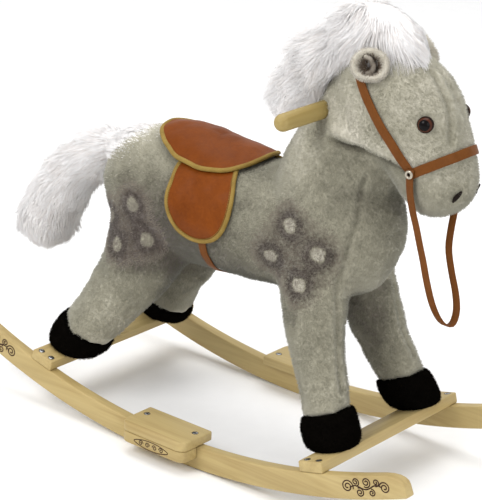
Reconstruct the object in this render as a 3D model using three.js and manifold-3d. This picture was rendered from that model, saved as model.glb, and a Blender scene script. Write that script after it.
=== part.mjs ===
// A plush rocking horse bolted to two curved wooden rockers.
// Millimetres, +X towards the nose, +Y towards the horse's left, +Z up, floor at z = 0.
// Everything is laid out from the middle of the rockers; the exported group is moved by
// CENTRING so that the frame's origin is at the middle of the whole object, on the floor.
import * as THREE from "three";
import { mergeVertices } from "three/addons/utils/BufferGeometryUtils.js";
import Module from "manifold-3d";

const wasm = await Module();
wasm.setup();

// ---------------------------------------------------------------- driving dimensions
const CENTRING = 16; // the tail reaches further back than the rockers reach forward
const GAP = 0.3; // clearance between touching pieces
const PLUSH_GAP = 0.6; // clearance between plush pieces, which meet on curved faces

const ROCKER = { radius: 950, depth: 30.5, thickness: 16, outerY: 147, tipX: 371, facets: 21 };
const RAIL = { angle: 0.2519, width: 36, thickness: 14, screwX: 9, screwY: 139 };
const FOOTREST = { x: -4, length: 106, innerY: 118, outerY: 176, thickness: 13, z: 32.4, corner: 14 };
const BLOCK = { z: 17, clear: 0.3 };
const SCREW = { head: 3.6, shank: 2, length: 32, countersink: 3 };
const BOLT = { head: 7, headHeight: 5, shank: 3, grip: 22 };
const HOOF = { frontX: 220, frontY: 89, rearX: -223, rearY: 91 };
const TAIL_HINGE = { x: -222, swing: 25 };
const SPINE = { x: 160, y: 50, z: 284, thickness: 18 };
const LEG_POST = { radius: 10, frontX: 140, rearX: -135, topY: 42 };
const NECK_POST = { radius: 17, footX: 122, topX: 140, topZ: 500 };
const HANDLE = { x: 138, z: 480, radius: 11, reach: 134 };
const RIVET = { x: 280, z: 436, shank: 2.2, head: 4.6, innerY: 50, headY: 59.7, outerY: 61.7 };
const EYE = { x: 284, y: 40.5, z: 494, radius: 11 };
const EAR = { x: 214, y: 62, z: 556, aim: [0.45, 0.75, 0.48] };
const STRAP = { width: 12, inner: 0.8, outer: 3, tab: 9 };
const GIRTH = { x: -10, width: 12, inner: 0.5, outer: 2.1, topZ: 300 };
const FLAP = { inner: 2.6, outer: 5 };
const SEAT = { inner: 5.4, outer: 10, padding: 5, frontX: 33, rearX: -142, halfWidth: 56 };
const REINS = { width: 10, thickness: 2, y: 58.3, drop: 198, lead: 37 };

// ---------------------------------------------------------------- finishes
const finish = (color, roughness, metalness = 0) =>
  new THREE.MeshStandardMaterial({ color, roughness, metalness });
const PINE = finish(0xe3cc94, 0.55);
const PLUSH = finish(0xa9aa9a, 0.95);
const HOOF_PLUSH = finish(0x17130f, 0.95);
const PILE = finish(0xefecea, 0.9);
const LEATHER = finish(0xa4552c, 0.5);
const STEEL = finish(0xb9bcc0, 0.35, 1);
const GLOSS = finish(0x2a1712, 0.1);

// ---------------------------------------------------------------- solids
const RAD = Math.PI / 180;

// A closed three.js geometry, moved by a matrix, as a solid that can be joined and cut.
function solidFrom(geometry, matrix = new THREE.Matrix4()) {
  const source = geometry.index ? geometry.toNonIndexed() : geometry;
  const bare = new THREE.BufferGeometry();
  bare.setAttribute("position", source.getAttribute("position").clone());
  const merged = mergeVertices(bare.applyMatrix4(matrix), 1e-3);
  const vertProperties = merged.getAttribute("position").array;
  const triVerts = new Uint32Array(merged.index.array);
  return new wasm.Manifold(new wasm.Mesh({ numProp: 3, vertProperties, triVerts }));
}

function geometryFrom(solid) {
  const { vertProperties, triVerts, numProp } = solid.getMesh();
  const positions = new Float32Array((vertProperties.length / numProp) * 3);
  for (let i = 0; i < positions.length / 3; i++)
    positions.set(vertProperties.subarray(i * numProp, i * numProp + 3), i * 3);
  const geometry = new THREE.BufferGeometry();
  geometry.setAttribute("position", new THREE.BufferAttribute(positions, 3));
  geometry.setIndex(new THREE.BufferAttribute(triVerts, 1));
  geometry.computeVertexNormals();
  return geometry;
}

// What is left in one piece after cutting: the largest body, without its slivers.
function largest(solid) {
  const bodies = solid.decompose();
  return bodies.reduce((a, b) => (b.volume() > a.volume() ? b : a));
}

const cut = (solid, ...tools) => tools.reduce((left, tool) => left.subtract(tool), solid);

function mesh(name, shape, material) {
  const geometry = shape instanceof THREE.BufferGeometry ? shape : geometryFrom(shape);
  const made = new THREE.Mesh(geometry, material);
  made.name = name;
  return made;
}

// Matrix that lays the local +Y axis along a direction, at a place.
function along(from, direction) {
  const turn = new THREE.Quaternion().setFromUnitVectors(
    new THREE.Vector3(0, 1, 0), direction.clone().normalize());
  return new THREE.Matrix4().compose(from, turn, new THREE.Vector3(1, 1, 1));
}

function rod(start, end, radius, sides = 12) {
  const a = new THREE.Vector3(...start);
  const b = new THREE.Vector3(...end);
  const middle = a.clone().add(b).multiplyScalar(0.5);
  const geometry = new THREE.CylinderGeometry(radius, radius, a.distanceTo(b), sides);
  return solidFrom(geometry, along(middle, b.clone().sub(a)));
}

function box(x, y, z) {
  const geometry = new THREE.BoxGeometry(x[1] - x[0], y[1] - y[0], z[1] - z[0]);
  const middle = [x, y, z].map(([low, high]) => (low + high) / 2);
  return solidFrom(geometry, new THREE.Matrix4().makeTranslation(...middle));
}

// A flat outline in X and Z, drawn as a Shape, extruded along Y between two planes.
function uprightPlate(shape, fromY, toY, curveSegments = 4) {
  const geometry = new THREE.ExtrudeGeometry(shape, {
    depth: toY - fromY, bevelEnabled: false, curveSegments });
  return solidFrom(geometry, new THREE.Matrix4()
    .makeTranslation(0, toY, 0)
    .multiply(new THREE.Matrix4().makeRotationX(Math.PI / 2)));
}

// A section of a stuffed shape: an ellipse whose plane faces along the X-Z heading "tilt".
const section = (x, y, z, halfWidth, halfHeight, tilt) => ({ x, y, z, halfWidth, halfHeight, tilt });

const FIELDS = ["x", "y", "z", "halfWidth", "halfHeight", "tilt"];

// The sections with smooth ones put in between, by Catmull-Rom interpolation.
function smoothSections(sections, between) {
  const last = sections.length - 1;
  const made = [];
  for (let i = 0; i < last; i++)
    for (let k = 0; k < between; k++) {
      const t = k / between;
      const near = [-1, 0, 1, 2].map((j) => sections[Math.min(Math.max(i + j, 0), last)]);
      const mixed = {};
      for (const field of FIELDS) {
        const [a, b, c, d] = near.map((s) => s[field]);
        mixed[field] = 0.5 * (2 * b + (c - a) * t + (2 * a - 5 * b + 4 * c - d) * t * t
          + (3 * b - a - 3 * c + d) * t * t * t);
      }
      made.push(mixed);
    }
  made.push({ ...sections[last] });
  return made;
}

// A closed stuffed shape through its sections. "grow" swells it evenly all round.
function stuffed(sections, { grow = 0, sides = 20, between = 2 } = {}) {
  const rings = smoothSections(sections, between);
  const heading = (s) => new THREE.Vector3(Math.cos(s.tilt * RAD), 0, Math.sin(s.tilt * RAD));
  const points = [];
  rings.forEach((s, i) => {
    const shift = i === 0 ? -grow : i === rings.length - 1 ? grow : 0;
    const middle = new THREE.Vector3(s.x, s.y, s.z).addScaledVector(heading(s), shift);
    const up = new THREE.Vector3(-Math.sin(s.tilt * RAD), 0, Math.cos(s.tilt * RAD));
    for (let j = 0; j < sides; j++) {
      const angle = (2 * Math.PI * j) / sides;
      points.push(middle.clone()
        .addScaledVector(up, Math.sin(angle) * (s.halfHeight + grow))
        .add(new THREE.Vector3(0, Math.cos(angle) * (s.halfWidth + grow), 0)));
    }
    if (i === 0 || i === rings.length - 1) points.push(middle);
  });
  // The first ring is followed by its middle point, so later rings start one place on.
  const at = (i, j) => i * sides + (i > 0 ? 1 : 0) + (j % sides);
  const triangles = [];
  for (let j = 0; j < sides; j++) {
    triangles.push(sides, at(0, j + 1), at(0, j));
    triangles.push(points.length - 1, at(rings.length - 1, j), at(rings.length - 1, j + 1));
    for (let i = 0; i + 1 < rings.length; i++)
      triangles.push(at(i, j), at(i, j + 1), at(i + 1, j), at(i, j + 1), at(i + 1, j + 1), at(i + 1, j));
  }
  const geometry = new THREE.BufferGeometry().setFromPoints(points);
  geometry.setIndex(triangles);
  return solidFrom(geometry);
}

// ---------------------------------------------------------------- the horse's stuffed forms
const TORSO = [
  section(-219, 0, 318, 18, 20, 0), section(-211, 0, 315, 44, 44, 0), section(-192, 0, 308, 68, 68, 0),
  section(-158, 0, 302, 85, 81, 0), section(-100, 0, 299, 89, 83, 0), section(-30, 0, 297, 88, 80, 0),
  section(40, 0, 300, 86, 80, 0), section(100, 0, 308, 84, 85, 0), section(150, 0, 316, 78, 87, 0),
  section(190, 0, 322, 64, 78, 0), section(214, 0, 325, 44, 56, 0), section(226, 0, 326, 18, 24, 0)];
const NECK = [
  section(128, 0, 345, 80, 80, 72), section(142, 0, 395, 72, 78, 75), section(160, 0, 437, 64, 72, 72),
  section(176, 0, 478, 58, 64, 68), section(190, 0, 515, 52, 54, 60)];
const HEAD = [
  section(160, 0, 558, 16, 18, -45), section(168, 0, 546, 42, 44, -45), section(186, 0, 522, 60, 68, -47),
  section(213, 0, 491, 66, 82, -50), section(246, 0, 467, 62, 70, -52), section(268, 0, 441, 55, 58, -54),
  section(285, 0, 416, 49, 52, -56), section(299, 0, 395, 39, 41, -58), section(307, 0, 382, 16, 17, -58)];
const MANE = [
  section(45, 0, 425, 18, 24, 70), section(70, 0, 465, 30, 40, 58), section(104, 0, 520, 42, 46, 45),
  section(158, 0, 566, 48, 46, 15), section(208, 0, 578, 46, 38, -20), section(248, 0, 560, 36, 26, -48),
  section(268, 0, 538, 14, 14, -60)];
const TAIL = [
  section(-221, 0, 335, 8, 8, 176), section(-230, 0, 335, 19, 20, 182), section(-250, 0, 331, 31, 33, 192),
  section(-285, 0, 313, 37, 39, 210), section(-325, 0, 275, 41, 43, 230),
  section(-352, 0, 230, 42, 44, 246), section(-365, 0, 185, 35, 37, 258), section(-369, 0, 155, 14, 14, 262)];
const frontLeg = (side) => [
  section(132, side * 38, 305, 46, 58, -66), section(143, side * 46, 250, 41, 50, -66),
  section(160, side * 58, 200, 37, 42, -66), section(178, side * 68, 155, 32, 35, -66),
  section(200, side * 80, 110, 31, 33, -68)];
const frontHoof = (side) => [
  section(200, side * 80, 110, 34, 36, -68), section(207, side * 83.5, 96, 36, 39, -70),
  section(217, side * 87.5, 78, 34, 37, -74), section(220, side * 89, 68, 25, 27, -75.6)];
const rearLeg = (side) => [
  section(-122, side * 36, 290, 50, 70, -108), section(-134, side * 42, 240, 48, 64, -112),
  section(-152, side * 50, 190, 44, 52, -118), section(-175, side * 62, 150, 39, 43, -122),
  section(-203, side * 81, 103, 37, 39, -120)];
const rearHoof = (side) => [
  section(-203, side * 81, 103, 39, 41, -120), section(-211, side * 85.5, 92, 39, 41, -117),
  section(-220, side * 90, 78, 36, 38, -108), section(-223, side * 91, 69, 27, 28, -104.4)];

// ---------------------------------------------------------------- wooden base
const topRadius = ROCKER.radius - ROCKER.depth;
const onArc = (radius, angle) => [radius * Math.sin(angle), ROCKER.radius - radius * Math.cos(angle)];

// Side view of a rocker: straight facets under a smooth top arc, with rounded-off tips.
function rockerOutline() {
  const tip = Math.asin(ROCKER.tipX / ROCKER.radius);
  const step = (2 * tip) / ROCKER.facets;
  const cornerRadius = ROCKER.radius / Math.cos(step / 2);
  const noseAngle = tip - 0.05;
  const bluntRadius = ROCKER.radius - 0.45 * ROCKER.depth;
  const shape = new THREE.Shape();
  shape.moveTo(...onArc(cornerRadius, -tip));
  for (let k = 1; k <= ROCKER.facets; k++) shape.lineTo(...onArc(cornerRadius, k * step - tip));
  shape.lineTo(...onArc(bluntRadius, tip));
  shape.quadraticCurveTo(...onArc(topRadius, tip), ...onArc(topRadius, noseAngle));
  for (let k = 1; k <= ROCKER.facets; k++)
    shape.lineTo(...onArc(topRadius, noseAngle - (2 * noseAngle * k) / ROCKER.facets));
  shape.quadraticCurveTo(...onArc(topRadius, -tip), ...onArc(bluntRadius, -tip));
  shape.closePath();
  return shape;
}

// Places a crossbar's own frame, X along the rocker and Z up off it, on the rocker's top.
function crossbarFrame(end) {
  const radius = topRadius - GAP - RAIL.thickness / 2;
  const [x, z] = onArc(radius, end * RAIL.angle);
  const group = new THREE.Group();
  group.position.set(x, 0, z);
  group.rotation.y = -end * RAIL.angle;
  group.updateMatrix();
  return group;
}

const FRONT = { name: "front", sign: 1, frame: crossbarFrame(1) };
const REAR = { name: "rear", sign: -1, frame: crossbarFrame(-1) };

// Turned screw, head up at z = 0, pointing down.
function screwGeometry(grow = 0) {
  const head = SCREW.head + grow;
  const shank = SCREW.shank + grow;
  const profile = [
    [0, -SCREW.length - grow], [shank, 3 - SCREW.length], [shank, -SCREW.countersink],
    [head, -0.4], [head, grow], [0, grow]].map(([r, y]) => new THREE.Vector2(r, y));
  return new THREE.LatheGeometry(profile, 8).rotateX(Math.PI / 2);
}

// Hexagon bolt, head below z = 0, shank up through the rail.
function boltGeometry(grow = 0) {
  const head = BOLT.head + grow;
  const shank = BOLT.shank + grow;
  const length = RAIL.thickness + BOLT.grip;
  const profile = [[0, -BOLT.headHeight], [head, -BOLT.headHeight], [head, 0], [shank, 0], [shank, length],
    [0, length + grow]].map(([r, y]) => new THREE.Vector2(r, y));
  return new THREE.LatheGeometry(profile, 6).rotateX(Math.PI / 2);
}

const screwPlaces = [-1, 1].flatMap((side) => [-1, 1].map((end) => [
  end * RAIL.screwX, side * RAIL.screwY, RAIL.thickness / 2 - 0.5]));

// Where a hoof stands, in the crossbar's own frame.
function boltPlace(end, side) {
  const x = end.sign > 0 ? HOOF.frontX : HOOF.rearX;
  const y = side * (end.sign > 0 ? HOOF.frontY : HOOF.rearY);
  const centreX = end.frame.position.x;
  return [(x - centreX) / Math.cos(RAIL.angle), y, -RAIL.thickness / 2];
}

const inFrame = (frame, place) =>
  frame.matrix.clone().multiply(new THREE.Matrix4().makeTranslation(...place));

function railSolid(end, grow = 0) {
  const half = [RAIL.width / 2, ROCKER.outerY, RAIL.thickness / 2];
  const plain = new THREE.BoxGeometry(...half.map((h) => 2 * (h + grow)));
  return solidFrom(plain, end.frame.matrix);
}

const allScrewHoles = [FRONT, REAR].flatMap((end) =>
  screwPlaces.map((place) => solidFrom(screwGeometry(GAP), inFrame(end.frame, place))));
const boltHoles = [FRONT, REAR].flatMap((end) =>
  [-1, 1].map((side) => solidFrom(boltGeometry(GAP), inFrame(end.frame, boltPlace(end, side)))));

// Top view of a footrest: square at the inner edge, rounded at the outer corners.
function footrestOutline(innerY) {
  const [low, high] = [FOOTREST.x - FOOTREST.length / 2, FOOTREST.x + FOOTREST.length / 2];
  const { outerY, corner } = FOOTREST;
  const shape = new THREE.Shape();
  shape.moveTo(low, innerY);
  shape.lineTo(high, innerY);
  shape.lineTo(high, outerY - corner);
  shape.quadraticCurveTo(high, outerY, high - corner, outerY);
  shape.lineTo(low + corner, outerY);
  shape.quadraticCurveTo(low, outerY, low, outerY - corner);
  shape.closePath();
  return shape;
}

// The outline extruded upwards, for the left side, or turned over for the right.
function footrestSolid(side, innerY, lowZ, highZ) {
  const geometry = new THREE.ExtrudeGeometry(footrestOutline(innerY), {
    depth: highZ - lowZ, bevelEnabled: false, curveSegments: 4 });
  const place = new THREE.Matrix4().makeTranslation(0, 0, lowZ);
  if (side > 0) return solidFrom(geometry, place);
  return solidFrom(geometry, place).mirror([0, 1, 0]);
}

const footrestTop = FOOTREST.z + FOOTREST.thickness;
const footrestScrewPlaces = (side) =>
  [-1, 1].map((end) => [FOOTREST.x + end * 41, side * 138, footrestTop - 0.5]);
const placed = (place) => new THREE.Matrix4().makeTranslation(...place);

function base() {
  const group = new THREE.Group();
  for (const [side, word] of [[-1, "right"], [1, "left"]]) {
    const inner = Math.min(side * ROCKER.outerY, side * (ROCKER.outerY - ROCKER.thickness));
    const plain = uprightPlate(rockerOutline(), inner, inner + ROCKER.thickness);
    const holes = footrestScrewPlaces(side).map((p) => solidFrom(screwGeometry(GAP), placed(p)));
    group.add(mesh(`rocker_${word}`, cut(plain, ...allScrewHoles, ...holes), PINE));
    const plate = footrestSolid(side, FOOTREST.innerY, FOOTREST.z, footrestTop);
    group.add(mesh(`footrest_plate_${word}`, cut(plate, ...holes), PINE));
    const block = footrestSolid(side, ROCKER.outerY + BLOCK.clear, BLOCK.z, FOOTREST.z - GAP);
    group.add(mesh(`footrest_block_${word}`, block, PINE));
    footrestScrewPlaces(side).forEach((place, i) => {
      const screw = mesh(`footrest_screw_${word}_${i + 1}`, screwGeometry(), STEEL);
      screw.position.set(...place);
      group.add(screw);
    });
  }
  return group;
}

// One crossbar with its screws down into the rockers and its bolts up into the hooves.
function crossbar(end) {
  const group = end.frame;
  const toLocal = end.frame.matrix.clone().invert();
  const drilled = cut(railSolid(end), ...allScrewHoles, ...boltHoles);
  group.add(mesh(`${end.name}_rail`, geometryFrom(drilled).applyMatrix4(toLocal), PINE));
  screwPlaces.forEach((place, i) => {
    const screw = mesh(`${end.name}_rail_screw_${i + 1}`, screwGeometry(), STEEL);
    screw.position.set(...place);
    group.add(screw);
  });
  for (const [side, word] of [[-1, "right"], [1, "left"]]) {
    const bolt = mesh(`hoof_bolt_${end.name}_${word}`, boltGeometry(), STEEL);
    bolt.position.set(...boltPlace(end, side));
    bolt.position.z -= GAP;
    group.add(bolt);
  }
  return group;
}

// ---------------------------------------------------------------- frame inside the plush
const spineBoard = (grow = 0) => box(
  [-SPINE.x - grow, SPINE.x + grow], [-SPINE.y - grow, SPINE.y + grow],
  [SPINE.z - grow, SPINE.z + SPINE.thickness + grow]);

function legPost(end, side, grow = 0) {
  const front = end.sign > 0;
  const foot = [front ? HOOF.frontX : HOOF.rearX, side * (front ? HOOF.frontY : HOOF.rearY), 60];
  const top = [front ? LEG_POST.frontX : LEG_POST.rearX, side * LEG_POST.topY, SPINE.z + 10];
  return rod(foot, top, LEG_POST.radius + grow, 10);
}

const neckPost = (grow = 0) => rod(
  [NECK_POST.footX, 0, SPINE.z + SPINE.thickness + GAP - grow],
  [NECK_POST.topX, 0, NECK_POST.topZ + grow], NECK_POST.radius + grow, 12);

function handleSolid(grow = 0) {
  const { radius, reach } = HANDLE;
  const length = 2 * (reach - radius) + 2 * grow;
  const geometry = new THREE.CapsuleGeometry(radius + grow, length, 3, 12);
  return solidFrom(geometry, new THREE.Matrix4().makeTranslation(HANDLE.x, 0, HANDLE.z));
}

// Everything at or below the top of a crossbar, for trimming what stands on it.
function belowRail(end) {
  const slab = new THREE.BoxGeometry(300, 500, 100);
  const down = new THREE.Matrix4().makeTranslation(0, 0, RAIL.thickness / 2 + GAP - 50);
  return solidFrom(slab, end.frame.matrix.clone().multiply(down));
}

function innerFrame() {
  const group = new THREE.Group();
  group.add(mesh("spine_board", spineBoard(), PINE));
  const post = cut(neckPost(), handleSolid(GAP), spineBoard(GAP));
  group.add(mesh("neck_post", post, PINE));
  group.add(mesh("handle_dowel", handleSolid(), PINE));
  for (const end of [FRONT, REAR])
    for (const [side, word] of [[-1, "right"], [1, "left"]]) {
      const trimmed = cut(legPost(end, side), spineBoard(GAP), belowRail(end), ...boltHoles);
      group.add(mesh(`leg_post_${end.name}_${word}`, largest(trimmed), PINE));
    }
  return group;
}

// ---------------------------------------------------------------- stuffed pieces
const FINE = { sides: 20, between: 2 };
const LIMB = { sides: 14, between: 2 };
const grown = (detail, grow) => ({ ...detail, grow });

const headForm = (grow = 0) => stuffed(HEAD, grown(FINE, grow));
const torsoForm = (grow = 0) => stuffed(TORSO, grown(FINE, grow));
const neckForm = (grow = 0) => stuffed(NECK, grown(FINE, grow));

function eyeSolid(side, grow = 0) {
  const ball = new THREE.SphereGeometry(EYE.radius + grow, 12, 8);
  return solidFrom(ball, new THREE.Matrix4().makeTranslation(EYE.x, side * EYE.y, EYE.z));
}

// Cupped ear: a turned cone with a hollow mouth, aimed outwards and forwards.
function earSolid(side, grow = 0) {
  const outside = [[0, -34], [15, -34], [21, -18], [24.5, -4], [24, 0]];
  const inside = [[20, -1], [14, -7], [6, -12], [0, -13]];
  const profile = [...outside, ...inside].map(([r, y]) => new THREE.Vector2(r > 0 ? r + grow : 0, y));
  const rim = new THREE.Vector3(EAR.x, side * EAR.y, EAR.z);
  const aim = new THREE.Vector3(EAR.aim[0], side * EAR.aim[1], EAR.aim[2]);
  return solidFrom(new THREE.LatheGeometry(profile, 14), along(rim, aim));
}

function rivetSolid(side, grow = 0) {
  const shank = RIVET.shank + grow;
  const head = RIVET.head + grow;
  const profile = [
    [0, RIVET.innerY - grow], [shank, RIVET.innerY - grow], [shank, RIVET.headY], [head, RIVET.headY],
    [head, RIVET.outerY - 0.8], [RIVET.head - 1.4, RIVET.outerY], [0, RIVET.outerY],
  ].map(([r, y]) => new THREE.Vector2(r, y));
  const turned = solidFrom(new THREE.LatheGeometry(profile, 12), placed([RIVET.x, 0, RIVET.z]));
  return side > 0 ? turned : turned.mirror([0, 1, 0]);
}

// ---------------------------------------------------------------- bridle
// A strap round the head: the skin between two swollen heads, where a flat slab passes.
function headBand(start, end, width, inner, outer) {
  const length = 400;
  const turn = Math.atan2(end[1] - start[1], end[0] - start[0]);
  const slab = solidFrom(new THREE.BoxGeometry(length, 300, width), new THREE.Matrix4()
    .makeTranslation(start[0], 0, start[1])
    .multiply(new THREE.Matrix4().makeRotationY(-turn)));
  return headForm(outer).subtract(headForm(inner)).intersect(slab);
}

const NOSE_LINE = [[RIVET.x, RIVET.z], [323, 462]];
const CHEEK_LINE = [[RIVET.x, RIVET.z], [201, 530]];

// A band that stops at the rivets: what would run on behind them is cut away.
function stoppedBand(line, tab, grow) {
  const band = headBand(...line, STRAP.width + 2 * grow, STRAP.inner - grow, STRAP.outer + grow);
  const turn = Math.atan2(line[1][1] - line[0][1], line[1][0] - line[0][0]);
  const beyond = solidFrom(new THREE.BoxGeometry(300, 300, 300), new THREE.Matrix4()
    .makeTranslation(RIVET.x, 0, RIVET.z)
    .multiply(new THREE.Matrix4().makeRotationY(-turn))
    .multiply(new THREE.Matrix4().makeTranslation(-150 - tab - grow, 0, 0)));
  return band.subtract(beyond);
}

const noseband = (grow = 0) => stoppedBand(NOSE_LINE, STRAP.tab, grow);
const headpiece = (grow = 0) => stoppedBand(CHEEK_LINE, 0, grow);

// Half of the reins' run, from the left rivet down to the middle of the loop, which hangs
// a little forward. Each stop is forward, across and down from between the rivets.
function reinsRun() {
  const { y, drop, lead } = REINS;
  const stops = [
    [0, y, -6], [0, y, 0], [0, y - 2, 20], [1, y - 9, 45], [3, y - 18, 70], [5, y - 26, 95],
    [8, y - 31, 115], [15, y - 32, 140], [24, y - 33, 165], [31, y - 38, 183],
    [lead - 2, y - 47, drop - 4], [lead, 0, drop]];
  return new THREE.CatmullRomCurve3(stops.map(([forward, across, down]) =>
    new THREE.Vector3(RIVET.x + forward, across, RIVET.z - down)));
}

// A flat strap along a run of points, with its width lying fore and aft.
function strapAlong(run, width, thickness) {
  const points = run.flatMap((p, i) => {
    const before = run[Math.max(i - 1, 0)];
    const way = run[Math.min(i + 1, run.length - 1)].clone().sub(before).normalize();
    const out = new THREE.Vector3().crossVectors(way, new THREE.Vector3(1, 0, 0)).normalize();
    const wide = new THREE.Vector3().crossVectors(out, way);
    return [[1, 1], [-1, 1], [-1, -1], [1, -1]].map(([a, b]) => p.clone()
      .addScaledVector(out, (a * thickness) / 2)
      .addScaledVector(wide, (b * width) / 2));
  });
  const triangles = [];
  for (let i = 0; i + 1 < run.length; i++)
    for (let j = 0; j < 4; j++) {
      const [a, b] = [4 * i + j, 4 * i + ((j + 1) % 4)];
      triangles.push(a, a + 4, b, b, a + 4, b + 4);
    }
  const last = points.length - 4;
  triangles.push(0, 1, 2, 0, 2, 3, last, last + 2, last + 1, last, last + 3, last + 2);
  const geometry = new THREE.BufferGeometry().setFromPoints(points);
  geometry.setIndex(triangles);
  return solidFrom(geometry);
}

function reins() {
  const left = reinsRun().getPoints(33);
  const right = left.slice(0, -1).reverse().map((p) => new THREE.Vector3(p.x, -p.y, p.z));
  const strap = strapAlong([...left, ...right], REINS.width, REINS.thickness);
  const rivetHole = (side) => rod(
    [RIVET.x, side * (REINS.y - 5), RIVET.z],
    [RIVET.x, side * (REINS.y + 5), RIVET.z], RIVET.shank + GAP);
  return cut(strap, rivetHole(-1), rivetHole(1));
}

// ---------------------------------------------------------------- saddle
const skin = (inner, outer) => torsoForm(outer).subtract(torsoForm(inner));

function girthSolid(grow = 0) {
  const half = GIRTH.width / 2 + grow;
  const around = box([GIRTH.x - half, GIRTH.x + half], [-120, 120], [180, GIRTH.topZ + grow]);
  return skin(GIRTH.inner - grow, GIRTH.outer + grow).intersect(around);
}

// Side view of a saddle flap: wide at the seat, rounded at the bottom.
function flapOutline() {
  const shape = new THREE.Shape();
  shape.moveTo(-72, 372);
  shape.bezierCurveTo(-71, 345, -76, 318, -62, 300);
  shape.bezierCurveTo(-50, 286, -34, 281, -18, 279);
  shape.bezierCurveTo(0, 280, 16, 290, 27, 310);
  shape.bezierCurveTo(35, 326, 38, 352, 14, 372);
  shape.closePath();
  return shape;
}

function saddleFlap(side) {
  const reach = side > 0 ? [20, 130] : [-130, -20];
  return skin(FLAP.inner, FLAP.outer).intersect(uprightPlate(flapOutline(), ...reach, 4));
}

// Top view of the seat: an oval, broader behind, coming to a blunt front.
function seatOutline() {
  const { frontX, rearX, halfWidth } = SEAT;
  const shape = new THREE.Shape();
  shape.moveTo(frontX, 0);
  shape.bezierCurveTo(frontX, 24, 18, halfWidth * 0.8, 0, halfWidth * 0.9);
  shape.bezierCurveTo(-30, halfWidth * 1.06, -70, halfWidth * 1.04, -96, halfWidth * 0.9);
  shape.bezierCurveTo(-120, halfWidth * 0.72, rearX, 30, rearX, 0);
  shape.bezierCurveTo(rearX, -30, -120, -halfWidth * 0.72, -96, -halfWidth * 0.9);
  shape.bezierCurveTo(-70, -halfWidth * 1.04, -30, -halfWidth * 1.06, 0, -halfWidth * 0.9);
  shape.bezierCurveTo(18, -halfWidth * 0.8, frontX, -24, frontX, 0);
  return shape;
}

function saddleSeat() {
  const outline = new THREE.ExtrudeGeometry(seatOutline(), {
    depth: 120, bevelEnabled: false, curveSegments: 4 });
  const raised = TORSO.map((s) => ({ ...s, halfHeight: s.halfHeight + (s.x < -60 ? SEAT.padding : 0) }));
  const top = stuffed(raised, grown(FINE, SEAT.outer));
  return top.subtract(torsoForm(SEAT.inner)).intersect(solidFrom(outline, placed([0, 0, 320])));
}

// The rump as the tail meets it while it swings to each side, in the tail's own place.
function rumpSweep() {
  const { x, swing } = TAIL_HINGE;
  const toHinge = new THREE.Matrix4().makeTranslation(x, 0, 0);
  return [-1, -0.75, -0.5, -0.25, 0, 0.25, 0.5, 0.75, 1].map((part) => {
    const turn = new THREE.Matrix4().makeRotationZ(part * swing * RAD);
    const turned = toHinge.clone().multiply(turn).multiply(toHinge.clone().invert());
    return torsoForm(PLUSH_GAP).transform(turned.toArray());
  });
}

// ---------------------------------------------------------------- the horse
function horse() {
  const group = new THREE.Group();
  const posts = [FRONT, REAR].flatMap((end) => [-1, 1].map((side) => legPost(end, side, GAP)));
  const eyes = [-1, 1].map((side) => eyeSolid(side, GAP));
  const rivets = [-1, 1].map((side) => rivetSolid(side, GAP));
  const nearTorso = torsoForm(PLUSH_GAP);
  const nearNeck = neckForm(PLUSH_GAP);
  const nearHead = headForm(PLUSH_GAP);

  const torso = cut(torsoForm(), spineBoard(GAP), ...posts, neckPost(GAP));
  const head = cut(headForm(), ...eyes, ...rivets, neckPost(GAP), handleSolid(GAP));
  const neck = cut(neckForm(), nearTorso, nearHead, neckPost(GAP), handleSolid(GAP));
  group.add(mesh("plush_torso", largest(torso), PLUSH));
  group.add(mesh("plush_head", largest(head), PLUSH));
  group.add(mesh("plush_neck", largest(neck), PLUSH));

  for (const end of [FRONT, REAR])
    for (const [side, word] of [[-1, "right"], [1, "left"]]) {
      const [legForm, hoofForm] = end.sign > 0 ? [frontLeg, frontHoof] : [rearLeg, rearHoof];
      const hoof = cut(stuffed(hoofForm(side), LIMB), belowRail(end), ...posts, ...boltHoles);
      const nearHoof = stuffed(hoofForm(side), grown(LIMB, PLUSH_GAP));
      const otherSide = box([-400, 400], side > 0 ? [-200, GAP] : [-GAP, 200], [0, 500]);
      const leg = cut(stuffed(legForm(side), LIMB), nearTorso, nearNeck, nearHoof, otherSide, ...posts);
      group.add(mesh(`leg_${end.name}_${word}`, largest(leg), PLUSH));
      group.add(mesh(`hoof_${end.name}_${word}`, largest(hoof), HOOF_PLUSH));
    }

  const tail = cut(stuffed(TAIL, LIMB), ...rumpSweep());
  group.add(mesh("tail", largest(tail), PILE));
  const nearEars = [-1, 1].map((side) => earSolid(side, PLUSH_GAP));
  const mane = cut(stuffed(MANE, LIMB), nearTorso, nearNeck, nearHead, handleSolid(GAP),
    headpiece(GAP), ...nearEars);
  group.add(mesh("mane", largest(mane), PILE));
  for (const [side, word] of [[-1, "right"], [1, "left"]]) {
    const ear = cut(earSolid(side), nearHead, nearNeck, headpiece(GAP));
    group.add(mesh(`ear_${word}`, largest(ear), PLUSH));
    group.add(mesh(`eye_${word}`, eyeSolid(side), GLOSS));
    group.add(mesh(`bridle_rivet_${word}`, rivetSolid(side), STEEL));
    group.add(mesh(`saddle_flap_${word}`, largest(saddleFlap(side)), LEATHER));
  }
  group.add(mesh("saddle_seat", largest(saddleSeat()), LEATHER));
  group.add(mesh("girth_strap", largest(girthSolid()), LEATHER));
  group.add(mesh("noseband", largest(cut(noseband(), ...rivets)), LEATHER));
  const crown = cut(headpiece(), noseband(GAP), nearNeck, ...rivets);
  group.add(mesh("bridle_headpiece", largest(crown), LEATHER));
  group.add(mesh("reins", reins(), LEATHER));
  return group;
}

const rockingHorse = new THREE.Group();
rockingHorse.position.x = CENTRING;
rockingHorse.add(base(), crossbar(FRONT), crossbar(REAR), innerFrame(), horse());

export default rockingHorse;
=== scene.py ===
import math

import bmesh
import bpy
import numpy as np
from mathutils import Matrix, Vector, noise
from mathutils.bvhtree import BVHTree


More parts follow.
